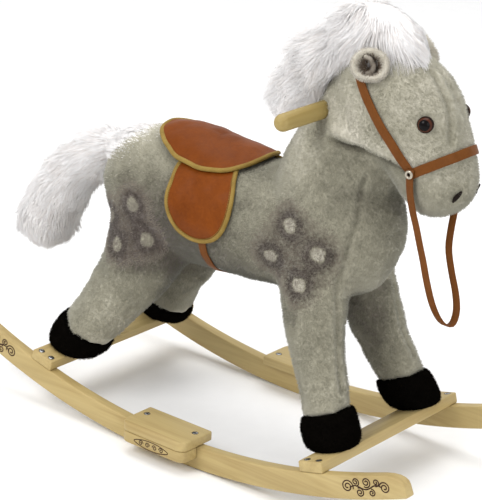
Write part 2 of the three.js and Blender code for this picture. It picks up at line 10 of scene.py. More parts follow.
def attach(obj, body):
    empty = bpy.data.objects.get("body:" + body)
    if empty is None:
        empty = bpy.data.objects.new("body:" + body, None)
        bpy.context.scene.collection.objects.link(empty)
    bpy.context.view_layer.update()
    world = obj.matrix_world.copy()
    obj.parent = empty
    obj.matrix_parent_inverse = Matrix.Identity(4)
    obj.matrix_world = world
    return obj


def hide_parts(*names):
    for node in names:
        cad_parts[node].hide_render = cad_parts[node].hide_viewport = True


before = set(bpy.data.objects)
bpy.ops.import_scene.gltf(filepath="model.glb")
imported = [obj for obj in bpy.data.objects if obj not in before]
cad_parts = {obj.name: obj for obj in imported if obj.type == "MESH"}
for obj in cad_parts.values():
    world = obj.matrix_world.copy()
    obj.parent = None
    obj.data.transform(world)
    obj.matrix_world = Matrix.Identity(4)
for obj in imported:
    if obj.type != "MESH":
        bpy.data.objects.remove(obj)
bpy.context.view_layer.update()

# ---------------------------------------------------------------- driving dimensions
# Millimetres from the middle of the rockers: +X to the nose, +Y to the horse's left, +Z up.
CENTRING = 16.0  # the frame's origin lies this far behind the rockers' middle

CAMERA = {
    "place": (1608.8, -2055.5, 1229.6),
    "right": (0.7731, 0.6325, 0.0475),
    "up": (-0.2575, 0.2445, 0.9348),
    "back": (0.5797, -0.7349, 0.3519),
    "lens": 154.5,
}

ROCKER = {"radius": 950, "depth": 30.5, "thickness": 16, "outer_y": 147, "tip_x": 371}
RAIL = {"angle": 0.2519, "width": 36, "thickness": 14, "screw_x": 9, "screw_y": 139}
FOOTREST = {"x": -4, "length": 106, "inner_y": 118, "outer_y": 176, "thickness": 13, "z": 32.4, "corner": 14}
BLOCK_Z = 17  # underside of the riser under each footrest
SCROLL_ANGLE = 0.3395  # where the scrolls sit, as an angle round the rockers' centre
GAP = 0.3
HOOF_PLACE = {1: (220, 89), -1: (-223, 91)}
HANDLE = {"x": 138, "z": 480, "radius": 11, "reach": 134}
RIVET = {"x": 280, "y": 59.7, "z": 436}
EYE = {"x": 284, "y": 40.5, "z": 494, "radius": 11}
EAR = {"x": 214, "y": 62, "z": 556, "aim": (0.45, 0.75, 0.48)}
STRAP = {"width": 12, "thickness": 2.2, "lift": 2.6}
REINS = {"width": 10, "thickness": 2, "y": 58.3, "drop": 198, "lead": 37}
SKIN_INSET = 3.0  # the woven backing lies this far inside the pile's outer face

# Sections of the stuffed shapes: x, y, z, half width, half height, tilt of the run in degrees.
TORSO = [
    (-219, 0, 318, 18, 20, 0), (-211, 0, 315, 44, 44, 0), (-192, 0, 308, 68, 68, 0),
    (-158, 0, 302, 85, 81, 0), (-100, 0, 299, 89, 83, 0), (-30, 0, 297, 88, 80, 0),
    (40, 0, 300, 86, 80, 0), (100, 0, 308, 84, 85, 0), (150, 0, 316, 78, 87, 0),
    (190, 0, 322, 64, 78, 0), (214, 0, 325, 44, 56, 0), (226, 0, 326, 18, 24, 0),
]
NECK = [
    (128, 0, 345, 80, 80, 72), (142, 0, 395, 72, 78, 75), (160, 0, 437, 64, 72, 72),
    (176, 0, 478, 58, 64, 68), (190, 0, 515, 52, 54, 60),
]
HEAD = [
    (160, 0, 558, 16, 18, -45), (168, 0, 546, 42, 44, -45), (186, 0, 522, 60, 68, -47),
    (213, 0, 491, 66, 82, -50), (246, 0, 467, 62, 70, -52), (268, 0, 441, 55, 58, -54),
    (285, 0, 416, 49, 52, -56), (299, 0, 395, 39, 41, -58), (307, 0, 382, 16, 17, -58),
]
MANE = [
    (45, 0, 425, 18, 24, 70), (70, 0, 465, 30, 40, 58), (104, 0, 520, 42, 46, 45),
    (158, 0, 566, 48, 46, 15), (208, 0, 578, 46, 38, -20), (248, 0, 560, 36, 26, -48),
    (268, 0, 538, 14, 14, -60),
]
TAIL = [
    (-221, 0, 335, 8, 8, 176), (-230, 0, 335, 19, 20, 182), (-250, 0, 331, 31, 33, 192),
    (-285, 0, 313, 37, 39, 210), (-325, 0, 275, 41, 43, 230), (-352, 0, 230, 42, 44, 246),
    (-365, 0, 185, 35, 37, 258), (-369, 0, 155, 14, 14, 262),
]
# The cloth forms inside the long hair, slimmer at their ends than the hair's own outline.
TAIL_FORM = [
    (-221, 0, 335, 8, 8, 176), (-230, 0, 335, 19, 20, 182), (-250, 0, 327, 29, 31, 192),
    (-284, 0, 303, 33, 34, 211), (-321, 0, 266, 38, 40, 231), (-349, 0, 226, 42, 43, 247),
    (-362, 0, 192, 38, 40, 256), (-366, 0, 168, 16, 16, 260),
]
MANE_FORM = [
    (52, 0, 442, 14, 18, 66), (70, 0, 465, 30, 40, 58), (104, 0, 524, 43, 49, 45),
    (158, 0, 571, 49, 50, 15), (202, 0, 579, 45, 38, -22), (232, 0, 561, 34, 22, -48),
    (247, 0, 549, 14, 12, -58),
]
FRONT_LEG = [
    (132, 38, 305, 46, 58, -66), (143, 46, 250, 41, 50, -66), (160, 58, 200, 37, 42, -66),
    (178, 68, 155, 32, 35, -66), (200, 80, 110, 31, 33, -68),
]
FRONT_HOOF = [
    (200, 80, 110, 34, 36, -68), (207, 83.5, 96, 36, 39, -70),
    (217, 87.5, 78, 34, 37, -74), (220, 89, 68, 25, 27, -75.6),
]
REAR_LEG = [
    (-122, 36, 290, 50, 70, -108), (-134, 42, 240, 48, 64, -112), (-152, 50, 190, 44, 52, -118),
    (-175, 62, 150, 39, 43, -122), (-203, 81, 103, 37, 39, -120),
]
REAR_HOOF = [
    (-203, 81, 103, 39, 41, -120), (-211, 85.5, 92, 39, 41, -117),
    (-220, 90, 78, 36, 38, -108), (-223, 91, 69, 27, 28, -104.4),
]

# Middles of the pale dapples on the right side; the left side has the same ones.
DAPPLES = [
    (-126, -90, 300), (-102, -86, 257), (-153, -91, 238), (-177, -75, 269),
    (122, -81, 336), (97, -84, 286), (168, -76, 307), (146, -87, 265),
]
DAPPLE_RADIUS = 10.0
HALO_RADIUS = 12  # the dark ring round a dapple
SMOKE_RADIUS = 30  # its faint outer haze

# Sewn lines on the right side, as points near the skin.
SEAMS = {
    "jaw": [(164, -60, 453), (208, -60, 446), (245, -58, 441), (274, -50, 434)],
    "shoulder": [(214, -52, 405), (212, -58, 365), (204, -64, 330), (196, -62, 290), (194, -62, 245),
                 (198, -66, 190), (209, -76, 140)],
    "rump": [(-214, -20, 345), (-205, -45, 318), (-196, -50, 280), (-190, -50, 230), (-200, -62, 170)],
    "belly": [(-150, 0, 220), (-60, 0, 217), (40, 0, 219), (120, 0, 224)],
    "forehead": [(266, -8, 552), (297, -12, 514), (310, -22, 474)],
}
TAIL_ROOT = (-206, 0, 356)  # the coat turns white round here

# Patches of the coat's tone, the same on both sides: change of tone, middle x and z, spread in x and z. The
# first darkens the middle of the barrel, the second is painted shadow below the hand grip, the third is
# painted shade on the front of the neck and chest below the jaw, and the fourth darkens the cheek.
TONE_AND_SHADE_PATCHES = [
    (-0.5, -50, 290, 135, 80), (-0.3, HANDLE["x"], HANDLE["z"] - 22, 22, 24),
    (-0.2, 205, 365, 50, 60), (-0.2, 232, 472, 28, 40),
]

# Swellings and hollows of the stuffing, the same on both sides: height, middle and radius.
BUMPS = [
    (3.0, (236, -60, 466), 30), (2.5, (292, -38, 420), 26), (2.0, (292, -30, 512), 16),
    (-2.6, (EYE["x"] + 1, -EYE["y"] - 3, EYE["z"]), 12), (-6.5, (HANDLE["x"] - 2, -56, HANDLE["z"] - 5), 18),
    (-3.0, (325, -26, 410), 8), (2.5, (-128, -80, 300), 45),
]

SIDES = ((-1, "right"), (1, "left"))
ENDS = ((1, "front"), (-1, "rear"))
MOST_TRIANGLES = 190000  # in one piece of pile or hair
random = np.random.default_rng(763)


# ---------------------------------------------------------------- placing and mesh helpers
def to_frame(points):
    """Places given in the drawing's millimetres, in the frame's metres."""
    return (np.asarray(points, float) + (CENTRING, 0, 0)) / 1000


def from_frame(points):
    """Places in the frame's metres, in the drawing's millimetres."""
    return np.asarray(points, float) * 1000 - (CENTRING, 0, 0)


def mirrored(points, side):
    """Points given for the right side, as drawn or on the left."""
    return np.asarray(points, float) * (1, -side, 1)


def add_object(name, points, faces, materials, body="horse", smooth=True):
    """A new mesh in the scene, which moves with one of the frame's bodies."""
    mesh = bpy.data.meshes.new(name)
    mesh.from_pydata(to_frame(points).tolist(), [], faces)
    mesh.validate()
    mesh.polygons.foreach_set("use_smooth", [smooth] * len(mesh.polygons))
    for material in materials:
        mesh.materials.append(material)
    made = bpy.data.objects.new(name, mesh)
    bpy.context.scene.collection.objects.link(made)
    if body:
        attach(made, body)
    return made


def add_piece(name, shape, materials, slot, *nodes, body="horse", smooth=True, rounded=0):
    """A finished piece: its faces look outwards, and it stands in for the frame's nodes."""
    made = add_object(name, *shape, materials, body, smooth)
    face_outwards(made)
    if rounded:
        bevel(made, rounded)
    take_over(made, slot, *nodes)
    return made


def take_over(made, slot, *nodes):
    """Hides the frame's nodes that a piece stands in for; its slot is not used."""
    if nodes:
        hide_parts(*nodes)


def face_outwards(obj):
    """Turns all of an object's faces to look out of it."""
    shape = bmesh.new()
    shape.from_mesh(obj.data)
    bmesh.ops.recalc_face_normals(shape, faces=shape.faces)
    shape.to_mesh(obj.data)
    shape.free()


def apply_modifiers(obj):
    """Bakes an object's modifiers into its own mesh."""
    bpy.context.view_layer.update()
    shown = obj.evaluated_get(bpy.context.evaluated_depsgraph_get())
    mesh = bpy.data.meshes.new_from_object(shown)
    old = obj.data
    obj.modifiers.clear()
    obj.data = mesh
    bpy.data.meshes.remove(old)


def coordinates(obj):
    """The places of an object's points, in the drawing's millimetres."""
    flat = np.empty(len(obj.data.vertices) * 3)
    obj.data.vertices.foreach_get("co", flat)
    return from_frame(flat.reshape(-1, 3))


def set_coordinates(obj, points):
    """Moves an object's points to places in the drawing's millimetres."""
    obj.data.vertices.foreach_set("co", to_frame(points).ravel())
    obj.data.update()


def vertex_normals(obj):
    """The way an object's surface faces at each of its points."""
    flat = np.empty(len(obj.data.vertices) * 3)
    obj.data.vertex_normals.foreach_get("vector", flat)
    return flat.reshape(-1, 3)


def tree_of(*objects):
    """One search tree over several objects' faces, in the same millimetres."""
    points = []
    faces = []
    for obj in objects:
        start = len(points)
        points.extend(coordinates(obj).tolist())
        faces.extend([[start + v for v in p.vertices] for p in obj.data.polygons])
    return BVHTree.FromPolygons(points, faces)


def unit(vectors):
    """The same directions, each one long."""
    vectors = np.asarray(vectors, float)
    return vectors / np.maximum(np.linalg.norm(vectors, axis=-1, keepdims=True), 1e-9)


def noise_at(points, size, seed):
    """Smooth noise between about -1 and 1, with lumps of the given size."""
    shifted = np.asarray(points, float) / size + seed * 17.3
    return np.array([noise.noise(Vector(p)) for p in shifted]) * 1.6


def resample(points, count):
    """Evenly spaced points along a smooth line through the given ones."""
    points = smooth_sections(points, 8)
    run = np.r_[0, np.cumsum(np.linalg.norm(np.diff(points, axis=0), axis=1))]
    at = np.linspace(0, run[-1], count)
    return np.stack([np.interp(at, run, points[:, k]) for k in range(3)], axis=1)


def smooth_sections(sections, between):
    """The sections with smooth ones put in between, by Catmull-Rom interpolation."""
    s = np.asarray(sections, float)
    last = len(s) - 1
    made = []
    for i in range(last):
        a, b, c, d = (s[min(max(i + j, 0), last)] for j in (-1, 0, 1, 2))
        for k in range(between):
            t = k / between
            curve = 2 * b + (c - a) * t
            curve = curve + (2 * a - 5 * b + 4 * c - d) * t**2 + (3 * b - a - 3 * c + d) * t**3
            made.append(curve / 2)
    made.append(s[-1])
    return np.array(made)


def loft(sections, side=-1, grow=0.0, scale=1.0):
    """A closed stuffed shape through its sections, which are given for the left side."""
    sides = 40
    rings = []
    angle = np.linspace(0, 2 * math.pi, sides, endpoint=False)
    for x, y, z, half_width, half_height, tilt in smooth_sections(sections, 6):
        turn = math.radians(tilt)
        up = np.array([-math.sin(turn), 0, math.cos(turn)])
        wide = np.cos(angle)[:, None] * (half_width * scale + grow) * np.array([0, 1, 0])
        high = np.sin(angle)[:, None] * (half_height * scale + grow) * up
        rings.append(np.array([x, y * side, z]) + wide + high)
    points = np.vstack(rings + [rings[0].mean(0)[None], rings[-1].mean(0)[None]])
    faces = ring_faces(len(rings), sides)
    last = (len(rings) - 1) * sides
    for j in range(sides):
        k = (j + 1) % sides
        faces.append((len(points) - 2, k, j))
        faces.append((len(points) - 1, last + j, last + k))
    return points, faces


def ring_faces(rings, sides, closed=False):
    """Four-sided faces between rings of points, which run on from the last to the first if closed."""
    faces = []
    for i in range(rings if closed else rings - 1):
        n = (i + 1) % rings
        for j in range(sides):
            k = (j + 1) % sides
            faces.append((i * sides + j, i * sides + k, n * sides + k, n * sides + j))
    return faces


def shell_faces(rings, sides, closed=False):
    """The faces of a tube of rings: closed in a hoop, or with a face over each end."""
    faces = ring_faces(rings, sides, closed)
    if not closed:
        faces.append(tuple(range(sides))[::-1])
        faces.append(tuple((rings - 1) * sides + j for j in range(sides)))
    return faces


def joined(shapes):
    """Several shapes, each of points and faces, as one."""
    points = []
    faces = []
    for shape_points, shape_faces in shapes:
        start = sum(len(p) for p in points)
        points.append(shape_points)
        faces.extend([tuple(start + v for v in face) for face in shape_faces])
    return np.vstack(points), faces


def remesh(obj, voxel, smoothing):
    """One even skin over all of an object's overlapping shapes."""
    modifier = obj.modifiers.new("skin", "REMESH")
    modifier.mode = "VOXEL"
    modifier.voxel_size = voxel / 1000
    soften = obj.modifiers.new("soften", "SMOOTH")
    soften.factor = 0.5
    soften.iterations = smoothing
    apply_modifiers(obj)
    obj.data.polygons.foreach_set("use_smooth", [True] * len(obj.data.polygons))
    obj.data.update()


def bevel(obj, width, segments=3):
    """Rounds an object's sharp edges."""
    modifier = obj.modifiers.new("rounded edges", "BEVEL")
    modifier.width = width / 1000
    modifier.segments = segments
    modifier.limit_method = "ANGLE"
    modifier.angle_limit = math.radians(35)
    apply_modifiers(obj)
    obj.data.polygons.foreach_set("use_smooth", [True] * len(obj.data.polygons))
    obj.data.set_sharp_from_angle(angle=math.radians(32))


def subdivide(obj):
    """Splits every face of an object in four and smooths it."""
    modifier = obj.modifiers.new("finer", "SUBSURF")
    modifier.levels = 1
    apply_modifiers(obj)


def distance_to_line(points, line):
    """How far each point is from a line through several points."""
    best = np.full(len(points), 1e9)
    for a, b in zip(line[:-1], line[1:]):
        run = b - a
        t = np.clip((points - a) @ run / max(run @ run, 1e-9), 0, 1)
        best = np.minimum(best, np.linalg.norm(points - a - t[:, None] * run, axis=1))
    return best


def tube(path, radius, sides, flat, normals=(0.02, 1.0, 0.03), closed=False):
    """A round or flattened tube along a path. Flat is its height, along the normals, over its width."""
    path = np.asarray(path, float)
    if closed:
        run = unit(np.roll(path, -1, axis=0) - np.roll(path, 1, axis=0))
    else:
        run = unit(np.gradient(path, axis=0))
    across = unit(np.cross(run, np.broadcast_to(normals, run.shape)))
    out = unit(np.cross(across, run))
    angle = np.linspace(0, 2 * math.pi, sides, endpoint=False)
    wide = np.cos(angle)[None, :, None] * across[:, None, :] * radius
    high = np.sin(angle)[None, :, None] * out[:, None, :] * radius * flat
    points = (path[:, None, :] + wide + high).reshape(-1, 3)
    return points, shell_faces(len(path), sides, closed)


def ribbon(path, normals, width, thickness):
    """A flat strap with rounded edges along a path; its face looks along the normals."""
    path = np.asarray(path, float)
    run = unit(np.gradient(path, axis=0))
    across = unit(np.cross(normals, run))
    out = unit(np.cross(run, across))
    half = width / 2
    edge = thickness * 0.35
    profile = [
        (-half, 0), (-half + edge * 0.3, thickness / 2 - edge * 0.3), (-half + edge, thickness / 2),
        (-half * 0.5, thickness / 2 * 1.12), (0, thickness / 2 * 1.15), (half * 0.5, thickness / 2 * 1.12),
        (half - edge, thickness / 2), (half - edge * 0.3, thickness / 2 - edge * 0.3), (half, 0),
        (half - edge, -thickness / 2), (0, -thickness / 2), (-half + edge, -thickness / 2),
    ]
    rings = [path + across * a + out * b for a, b in profile]
    sides = len(profile)
    points = np.stack(rings, axis=1).reshape(-1, 3)
    return points, shell_faces(len(path), sides)


# ---------------------------------------------------------------- materials
def srgb(red, green, blue):
    """A colour as a camera shows it, 0 to 255, as the shader's linear colour."""
    def linear(value):
        value = value / 255
        return value / 12.92 if value <= 0.04045 else ((value + 0.055) / 1.055) ** 2.4
    return (linear(red), linear(green), linear(blue), 1.0)


class Nodes:
    """A new material with its main shader, and short ways to add what feeds it."""

    def __init__(self, name, colour=(0.8, 0.8, 0.8, 1), roughness=0.6):
        self.material = bpy.data.materials.new(name)
        self.material.use_nodes = True
        self.tree = self.material.node_tree
        self.shader = self.tree.nodes["Principled BSDF"]
        self.shader.inputs["Base Color"].default_value = colour
        self.shader.inputs["Roughness"].default_value = roughness
        self.place = None

    def add(self, kind, **settings):
        """A new node of a kind."""
        node = self.tree.nodes.new(kind)
        for key, value in settings.items():
            setattr(node, key, value)
        return node

    def link(self, output, target):
        """Joins an output to an input."""
        self.tree.links.new(output, target)

    def coordinate(self, scale=(1, 1, 1)):
        """The place on the object, in metres, stretched along the axes."""
        if self.place is None:
            self.place = self.add("ShaderNodeTexCoord")
        mapping = self.add("ShaderNodeMapping")
        mapping.inputs["Scale"].default_value = scale
        self.link(self.place.outputs["Object"], mapping.inputs["Vector"])
        return mapping.outputs["Vector"]

    def noise(self, scale, detail=4, distortion=0.0, stretch=(1, 1, 1)):
        """Cloudy noise, finer with a greater scale."""
        node = self.add("ShaderNodeTexNoise")
        node.inputs["Scale"].default_value = scale
        node.inputs["Detail"].default_value = detail
        node.inputs["Roughness"].default_value = 0.55
        node.inputs["Distortion"].default_value = distortion
        self.link(self.coordinate(stretch), node.inputs["Vector"])
        return node.outputs["Fac"]

    def ramp(self, value, stops):
        """Turns a value into a colour between stops of place and colour."""
        node = self.add("ShaderNodeValToRGB")
        elements = node.color_ramp.elements
        while len(elements) < len(stops):
            elements.new(0.5)
        for element, (position, colour) in zip(elements, stops):
            element.position = position
            element.color = colour
        self.link(value, node.inputs["Fac"])
        return node.outputs["Color"]

    def mix(self, factor, first, second, blend="MIX"):
        """Two colours mixed; each of the three may be a value or an output."""
        node = self.add("ShaderNodeMix", data_type="RGBA", blend_type=blend)
        for value, target in ((factor, node.inputs[0]), (first, node.inputs[6]), (second, node.inputs[7])):
            if isinstance(value, bpy.types.NodeSocket):
                self.link(value, target)
            else:
                target.default_value = value
        return node.outputs[2]

    def bump(self, height, strength, distance):
        """Gives the surface a relief, its depth in metres."""
        node = self.add("ShaderNodeBump")
        node.inputs["Strength"].default_value = strength
        node.inputs["Distance"].default_value = distance
        self.link(height, node.inputs["Height"])
        self.link(node.outputs["Normal"], self.shader.inputs["Normal"])

    def colour(self, output):
        """Feeds the surface's colour."""
        self.link(output, self.shader.inputs["Base Color"])

    def rough(self, value, low, high):
        """Lets a value run the roughness between two ends."""
        node = self.add("ShaderNodeMapRange")
        node.inputs["To Min"].default_value = low
        node.inputs["To Max"].default_value = high
        self.link(value, node.inputs["Value"])
        self.link(node.outputs["Result"], self.shader.inputs["Roughness"])


def pine_material(name, along, tones):
    """Pale pine with its grain along one axis, in four tones from dark to pale."""
    made = Nodes(name)
    dark, middle, light, pale = (srgb(*tone) for tone in tones)
    stretch = [9.0, 9.0, 9.0]
    stretch["xyz".index(along)] = 0.9
    fine = [240.0, 240.0, 240.0]
    fine["xyz".index(along)] = 7.0
    figure = made.noise(3.2, 3, 1.1, stretch)
    streaks = made.noise(1.0, 3, 0.3, fine)
    patches = made.noise(7.0, 2)
    tone = made.ramp(figure, [(0.36, dark), (0.5, middle), (0.66, light)])
    tone = made.mix(0.35, tone, made.ramp(streaks, [(0.35, dark), (0.62, light)]))
    tone = made.mix(0.25, tone, made.ramp(patches, [(0.4, middle), (0.6, pale)]))
    made.colour(tone)
    made.rough(streaks, 0.42, 0.62)
    made.bump(streaks, 0.25, 0.0006)
    made.shader.inputs["Specular IOR Level"].default_value = 0.35
    return made.material


def leather_material(name, light, dark, grain=900, roughness=(0.34, 0.48)):
    """Smooth hide: soft cloudy tone, pores and fine creases."""
    made = Nodes(name)
    clouds = made.noise(22, 4, 0.4)
    pores = made.noise(grain, 3)
    creases = made.noise(140, 5, 1.6)
    tone = made.ramp(clouds, [(0.3, dark), (0.7, light)])
    tone = made.mix(0.3, tone, made.ramp(creases, [(0.38, dark), (0.6, light)]))
    made.colour(tone)
    made.shader.inputs["Specular IOR Level"].default_value = 0.08
    made.rough(creases, *roughness)
    height = made.add("ShaderNodeMath", operation="MULTIPLY_ADD")
    made.link(pores, height.inputs[0])
    height.inputs[1].default_value = 0.5
    made.link(creases, height.inputs[2])
    made.bump(height.outputs[0], 0.35, 0.0006)
    return made.material


def tape_material():
    """Woven binding tape: fine diagonal ribs in a straw colour."""
    made = Nodes("binding_tape")
    weave = made.add("ShaderNodeTexWave", wave_type="BANDS", bands_direction="DIAGONAL")
    weave.inputs["Scale"].default_value = 260
    weave.inputs["Distortion"].default_value = 1.2
    made.link(made.coordinate(), weave.inputs["Vector"])
    worn = made.noise(60, 3)
    tone = made.ramp(weave.outputs["Fac"], [(0.2, TAPE_DARK), (0.75, TAPE_LIGHT)])
    made.colour(made.mix(0.35, tone, made.ramp(worn, [(0.35, TAPE_DARK), (0.65, TAPE_LIGHT)])))
    made.shader.inputs["Specular IOR Level"].default_value = 0.15
    made.rough(worn, 0.6, 0.85)
    made.bump(weave.outputs["Fac"], 0.5, 0.0004)
    return made.material


def backing_material(name, stops, grain=420, sheen=0.25):
    """The woven ground under a pile, coloured by the piece's own tone and mottled, and set darker than the
    fibres as painted shade between them.
    """
    made = Nodes(name, roughness=0.95)
    tone = made.add("ShaderNodeAttribute", attribute_name="tone")
    fibres = made.noise(grain, 4)
    shifted = made.add("ShaderNodeMath", operation="MULTIPLY_ADD")
    made.link(fibres, shifted.inputs[0])
    shifted.inputs[1].default_value = 0.35
    made.link(tone.outputs["Fac"], shifted.inputs[2])
    # Painted shade: 0.17 darker than the fibres' own tone.
    shaded_tone = made.add("ShaderNodeMath", operation="SUBTRACT", use_clamp=True)
    made.link(shifted.outputs[0], shaded_tone.inputs[0])
    shaded_tone.inputs[1].default_value = 0.17
    made.colour(made.ramp(shaded_tone.outputs[0], stops))
    made.bump(fibres, 0.6, 0.0012)
    made.shader.inputs["Specular IOR Level"].default_value = sheen
    made.shader.inputs["Sheen Weight"].default_value = sheen
    made.shader.inputs["Sheen Roughness"].default_value = 0.6
    return made.material


def fibre_material(name, colour, sheen=0.2):
    """One plain tone of pile fibre; a coat is made of many tones side by side."""
    made = Nodes(name, colour, 0.75)
    made.shader.inputs["Specular IOR Level"].default_value = sheen
    made.shader.inputs["Sheen Weight"].default_value = sheen
    made.shader.inputs["Sheen Roughness"].default_value = 0.5
    return made.material


def metal_material(name, colour, roughness):
    """Plated metal with a faint pattern of fine scratches."""
    made = Nodes(name, colour, roughness)
    scratches = made.noise(700, 3, 0.5)
    made.shader.inputs["Metallic"].default_value = 1.0
    streaks = made.ramp(scratches, [(0.3, (0.2, 0.2, 0.2, 1)), (0.7, (1, 1, 1, 1))])
    made.colour(made.mix(0.12, colour, streaks))
    made.rough(scratches, roughness * 0.8, roughness * 1.4)
    return made.material


def eye_material(side, word):
    """Safety eye: dark brown with a black pupil in the middle, under a clear gloss."""
    made = Nodes(f"eye_gloss_{word}", roughness=0.12)
    centre = to_frame([EYE["x"], side * EYE["y"], EYE["z"]])
    aim = unit(EYE_AIM) * (1, side, 1)
    distance = made.add("ShaderNodeVectorMath", operation="DISTANCE")
    made.link(made.coordinate(), distance.inputs[0])
    distance.inputs[1].default_value = tuple(centre + aim * (EYE["radius"] - 3.2) / 1000)
    reach = made.add("ShaderNodeMath", operation="DIVIDE")
    made.link(distance.outputs["Value"], reach.inputs[0])
    reach.inputs[1].default_value = 0.012
    streaks = made.noise(420, 3, 0.8)
    iris = made.mix(streaks, srgb(50, 26, 18), srgb(86, 48, 34))
    pupil = made.ramp(reach.outputs[0], [(0.56, (0, 0, 0, 1)), (0.64, (1, 1, 1, 1))])
    rim = made.ramp(reach.outputs[0], [(0.8, (1, 1, 1, 1)), (0.95, (0.25, 0.2, 0.2, 1))])
    tone = made.mix(pupil, srgb(10, 7, 7), iris)
    made.colour(made.mix(1.0, tone, rim, "MULTIPLY"))
    made.shader.inputs["IOR"].default_value = 1.15
    made.shader.inputs["Coat Weight"].default_value = 0.2
    made.shader.inputs["Coat IOR"].default_value = 1.3
    made.shader.inputs["Coat Roughness"].default_value = 0.04
    return made.material


PINE_TONES = ((152, 128, 78), (173, 151, 99), (186, 165, 113), (193, 174, 126))
GRIP_TONES = ((126, 104, 54), (145, 125, 72), (158, 138, 84), (166, 147, 94))
TAPE_DARK = srgb(108, 85, 34)
TAPE_LIGHT = srgb(154, 129, 68)
EYE_AIM = (0.35, 0.93, 0.12)

PINE = {axis: pine_material(f"pine_grain_{axis}", axis, PINE_TONES) for axis in "xyz"}
GRIP_PINE = pine_material("grip_pine", "y", GRIP_TONES)
SADDLE_LEATHER = leather_material("saddle_leather", srgb(119, 60, 15), srgb(97, 46, 9))
STRAP_LEATHER = leather_material("strap_leather", srgb(112, 67, 30), srgb(94, 54, 20), 1100)
TAPE = tape_material()
STEEL = metal_material("zinc_plated_steel", (0.55, 0.56, 0.58, 1), 0.32)
NICKEL = metal_material("nickel_plate", (0.4, 0.35, 0.27, 1), 0.3)
THREAD = leather_material("dark_thread", srgb(34, 26, 22), srgb(14, 10, 9), 1600, (0.6, 0.8))
BURNT = leather_material("burnt_line", srgb(78, 58, 48), srgb(46, 32, 26), 1200, (0.7, 0.9))
# Painted shade: a plain dark colour that stands for the shade down in holes, slots and gaps.
HOLE_SHADE = leather_material("painted_hole_shade", srgb(40, 32, 26), srgb(18, 14, 12), 1200, (0.8, 0.95))

# Fibre tones of the grey coat from dark to pale, then of a dapple's dark ring and its middle.
COAT = [srgb(*c) for c in (
    (95, 93, 79), (119, 116, 100), (146, 143, 125), (161, 157, 139), (176, 172, 153), (194, 189, 172))]
HALO = [srgb(*c) for c in ((132, 123, 110), (105, 95, 85), (80, 71, 64))]
SPOT = [srgb(*c) for c in ((140, 132, 120), (158, 150, 138))]
COAT_FIBRES = [fibre_material(f"coat_fibre_{i}", c) for i, c in enumerate([*COAT, *HALO, *SPOT])]
COAT_BACKING = backing_material("coat_backing", [
    (0.0, srgb(80, 70, 66)), (0.3, srgb(116, 112, 97)),
    (0.6, srgb(150, 146, 128)), (1.0, srgb(200, 195, 180)),
])
BLACK = [srgb(*c) for c in ((7, 6, 4), (11, 9, 7), (17, 14, 11))]
BLACK_FIBRES = [fibre_material(f"hoof_fibre_{i}", c, 0.0) for i, c in enumerate(BLACK)]
BLACK_BACKING = backing_material("hoof_backing", [(0.0, srgb(6, 5, 4)), (1.0, srgb(12, 10, 8))], 420, 0.0)
WHITE = [srgb(*c) for c in ((236, 229, 225), (246, 241, 238), (251, 248, 247), (254, 253, 253))]
WHITE_FIBRES = [fibre_material(f"white_fibre_{i}", c) for i, c in enumerate(WHITE)]
WHITE_BACKING = backing_material("white_backing", [(0.0, srgb(214, 205, 200)), (1.0, srgb(248, 244, 242))])
EAR_TONES = [srgb(*c) for c in ((104, 88, 72), (134, 118, 100), (196, 188, 170), (216, 209, 194))]
EAR_FIBRES = [fibre_material(f"ear_fibre_{i}", c) for i, c in enumerate(EAR_TONES)]
EAR_BACKING = backing_material("ear_backing", [(0.0, srgb(70, 58, 48)), (1.0, srgb(190, 184, 170))])


# ---------------------------------------------------------------- camera, cord, stage and lights
def add_camera():
    """The camera at the place and with the lens that the driving dimensions give."""
    data = bpy.data.cameras.new("camera")
    data.lens = CAMERA["lens"]
    data.clip_start = 0.05
    data.clip_end = 60
    camera = bpy.data.objects.new("camera", data)
    bpy.context.scene.collection.objects.link(camera)
    turn = Matrix([CAMERA["right"], CAMERA["up"], CAMERA["back"]]).transposed().to_4x4()
    camera.matrix_world = Matrix.Translation(Vector(to_frame(CAMERA["place"]))) @ turn
    bpy.context.scene.camera = camera


def reins_line():
    """The reins' middle line, from the right rivet round the hanging loop to the left one."""
    y, drop, lead = REINS["y"], REINS["drop"], REINS["lead"]
    half = [(0, y, -6), (0, y, 0), (0, y - 2, 20), (1, y - 9, 45), (3, y - 18, 70), (5, y - 26, 95),
            (8, y - 31, 115), (15, y - 32, 140), (24, y - 33, 165), (31, y - 38, 183),
            (lead - 2, y - 47, drop - 4), (lead, 0, drop)]
    whole = [(f, -a, -d) for f, a, d in half] + [(f, a, -d) for f, a, d in reversed(half[:-1])]
    return resample(np.array(whole) + (RIVET["x"], 0, RIVET["z"]), 71)


def add_reins():
    """The reins: one limp strap, which hangs in a loop from rivet to rivet."""
    line = reins_line()
    faces_to = unit(np.cross(np.gradient(line, axis=0), (1, 0, 0)))
    made = add_piece("reins_strap", ribbon(line, faces_to, REINS["width"], REINS["thickness"]),
                     [STRAP_LEATHER], "tan_leather", "reins", body="reins")


def add_area_light(name, place, aim, size, power):
    """A round white lamp at a place in metres, turned to another place."""
    data = bpy.data.lights.new(name, "AREA")
    data.shape = "DISK"
    data.size = size
    data.energy = power
    light = bpy.data.objects.new(name, data)
    bpy.context.scene.collection.objects.link(light)
    light.location = place
    light.rotation_euler = (Vector(aim) - Vector(place)).to_track_quat("-Z", "Y").to_euler()


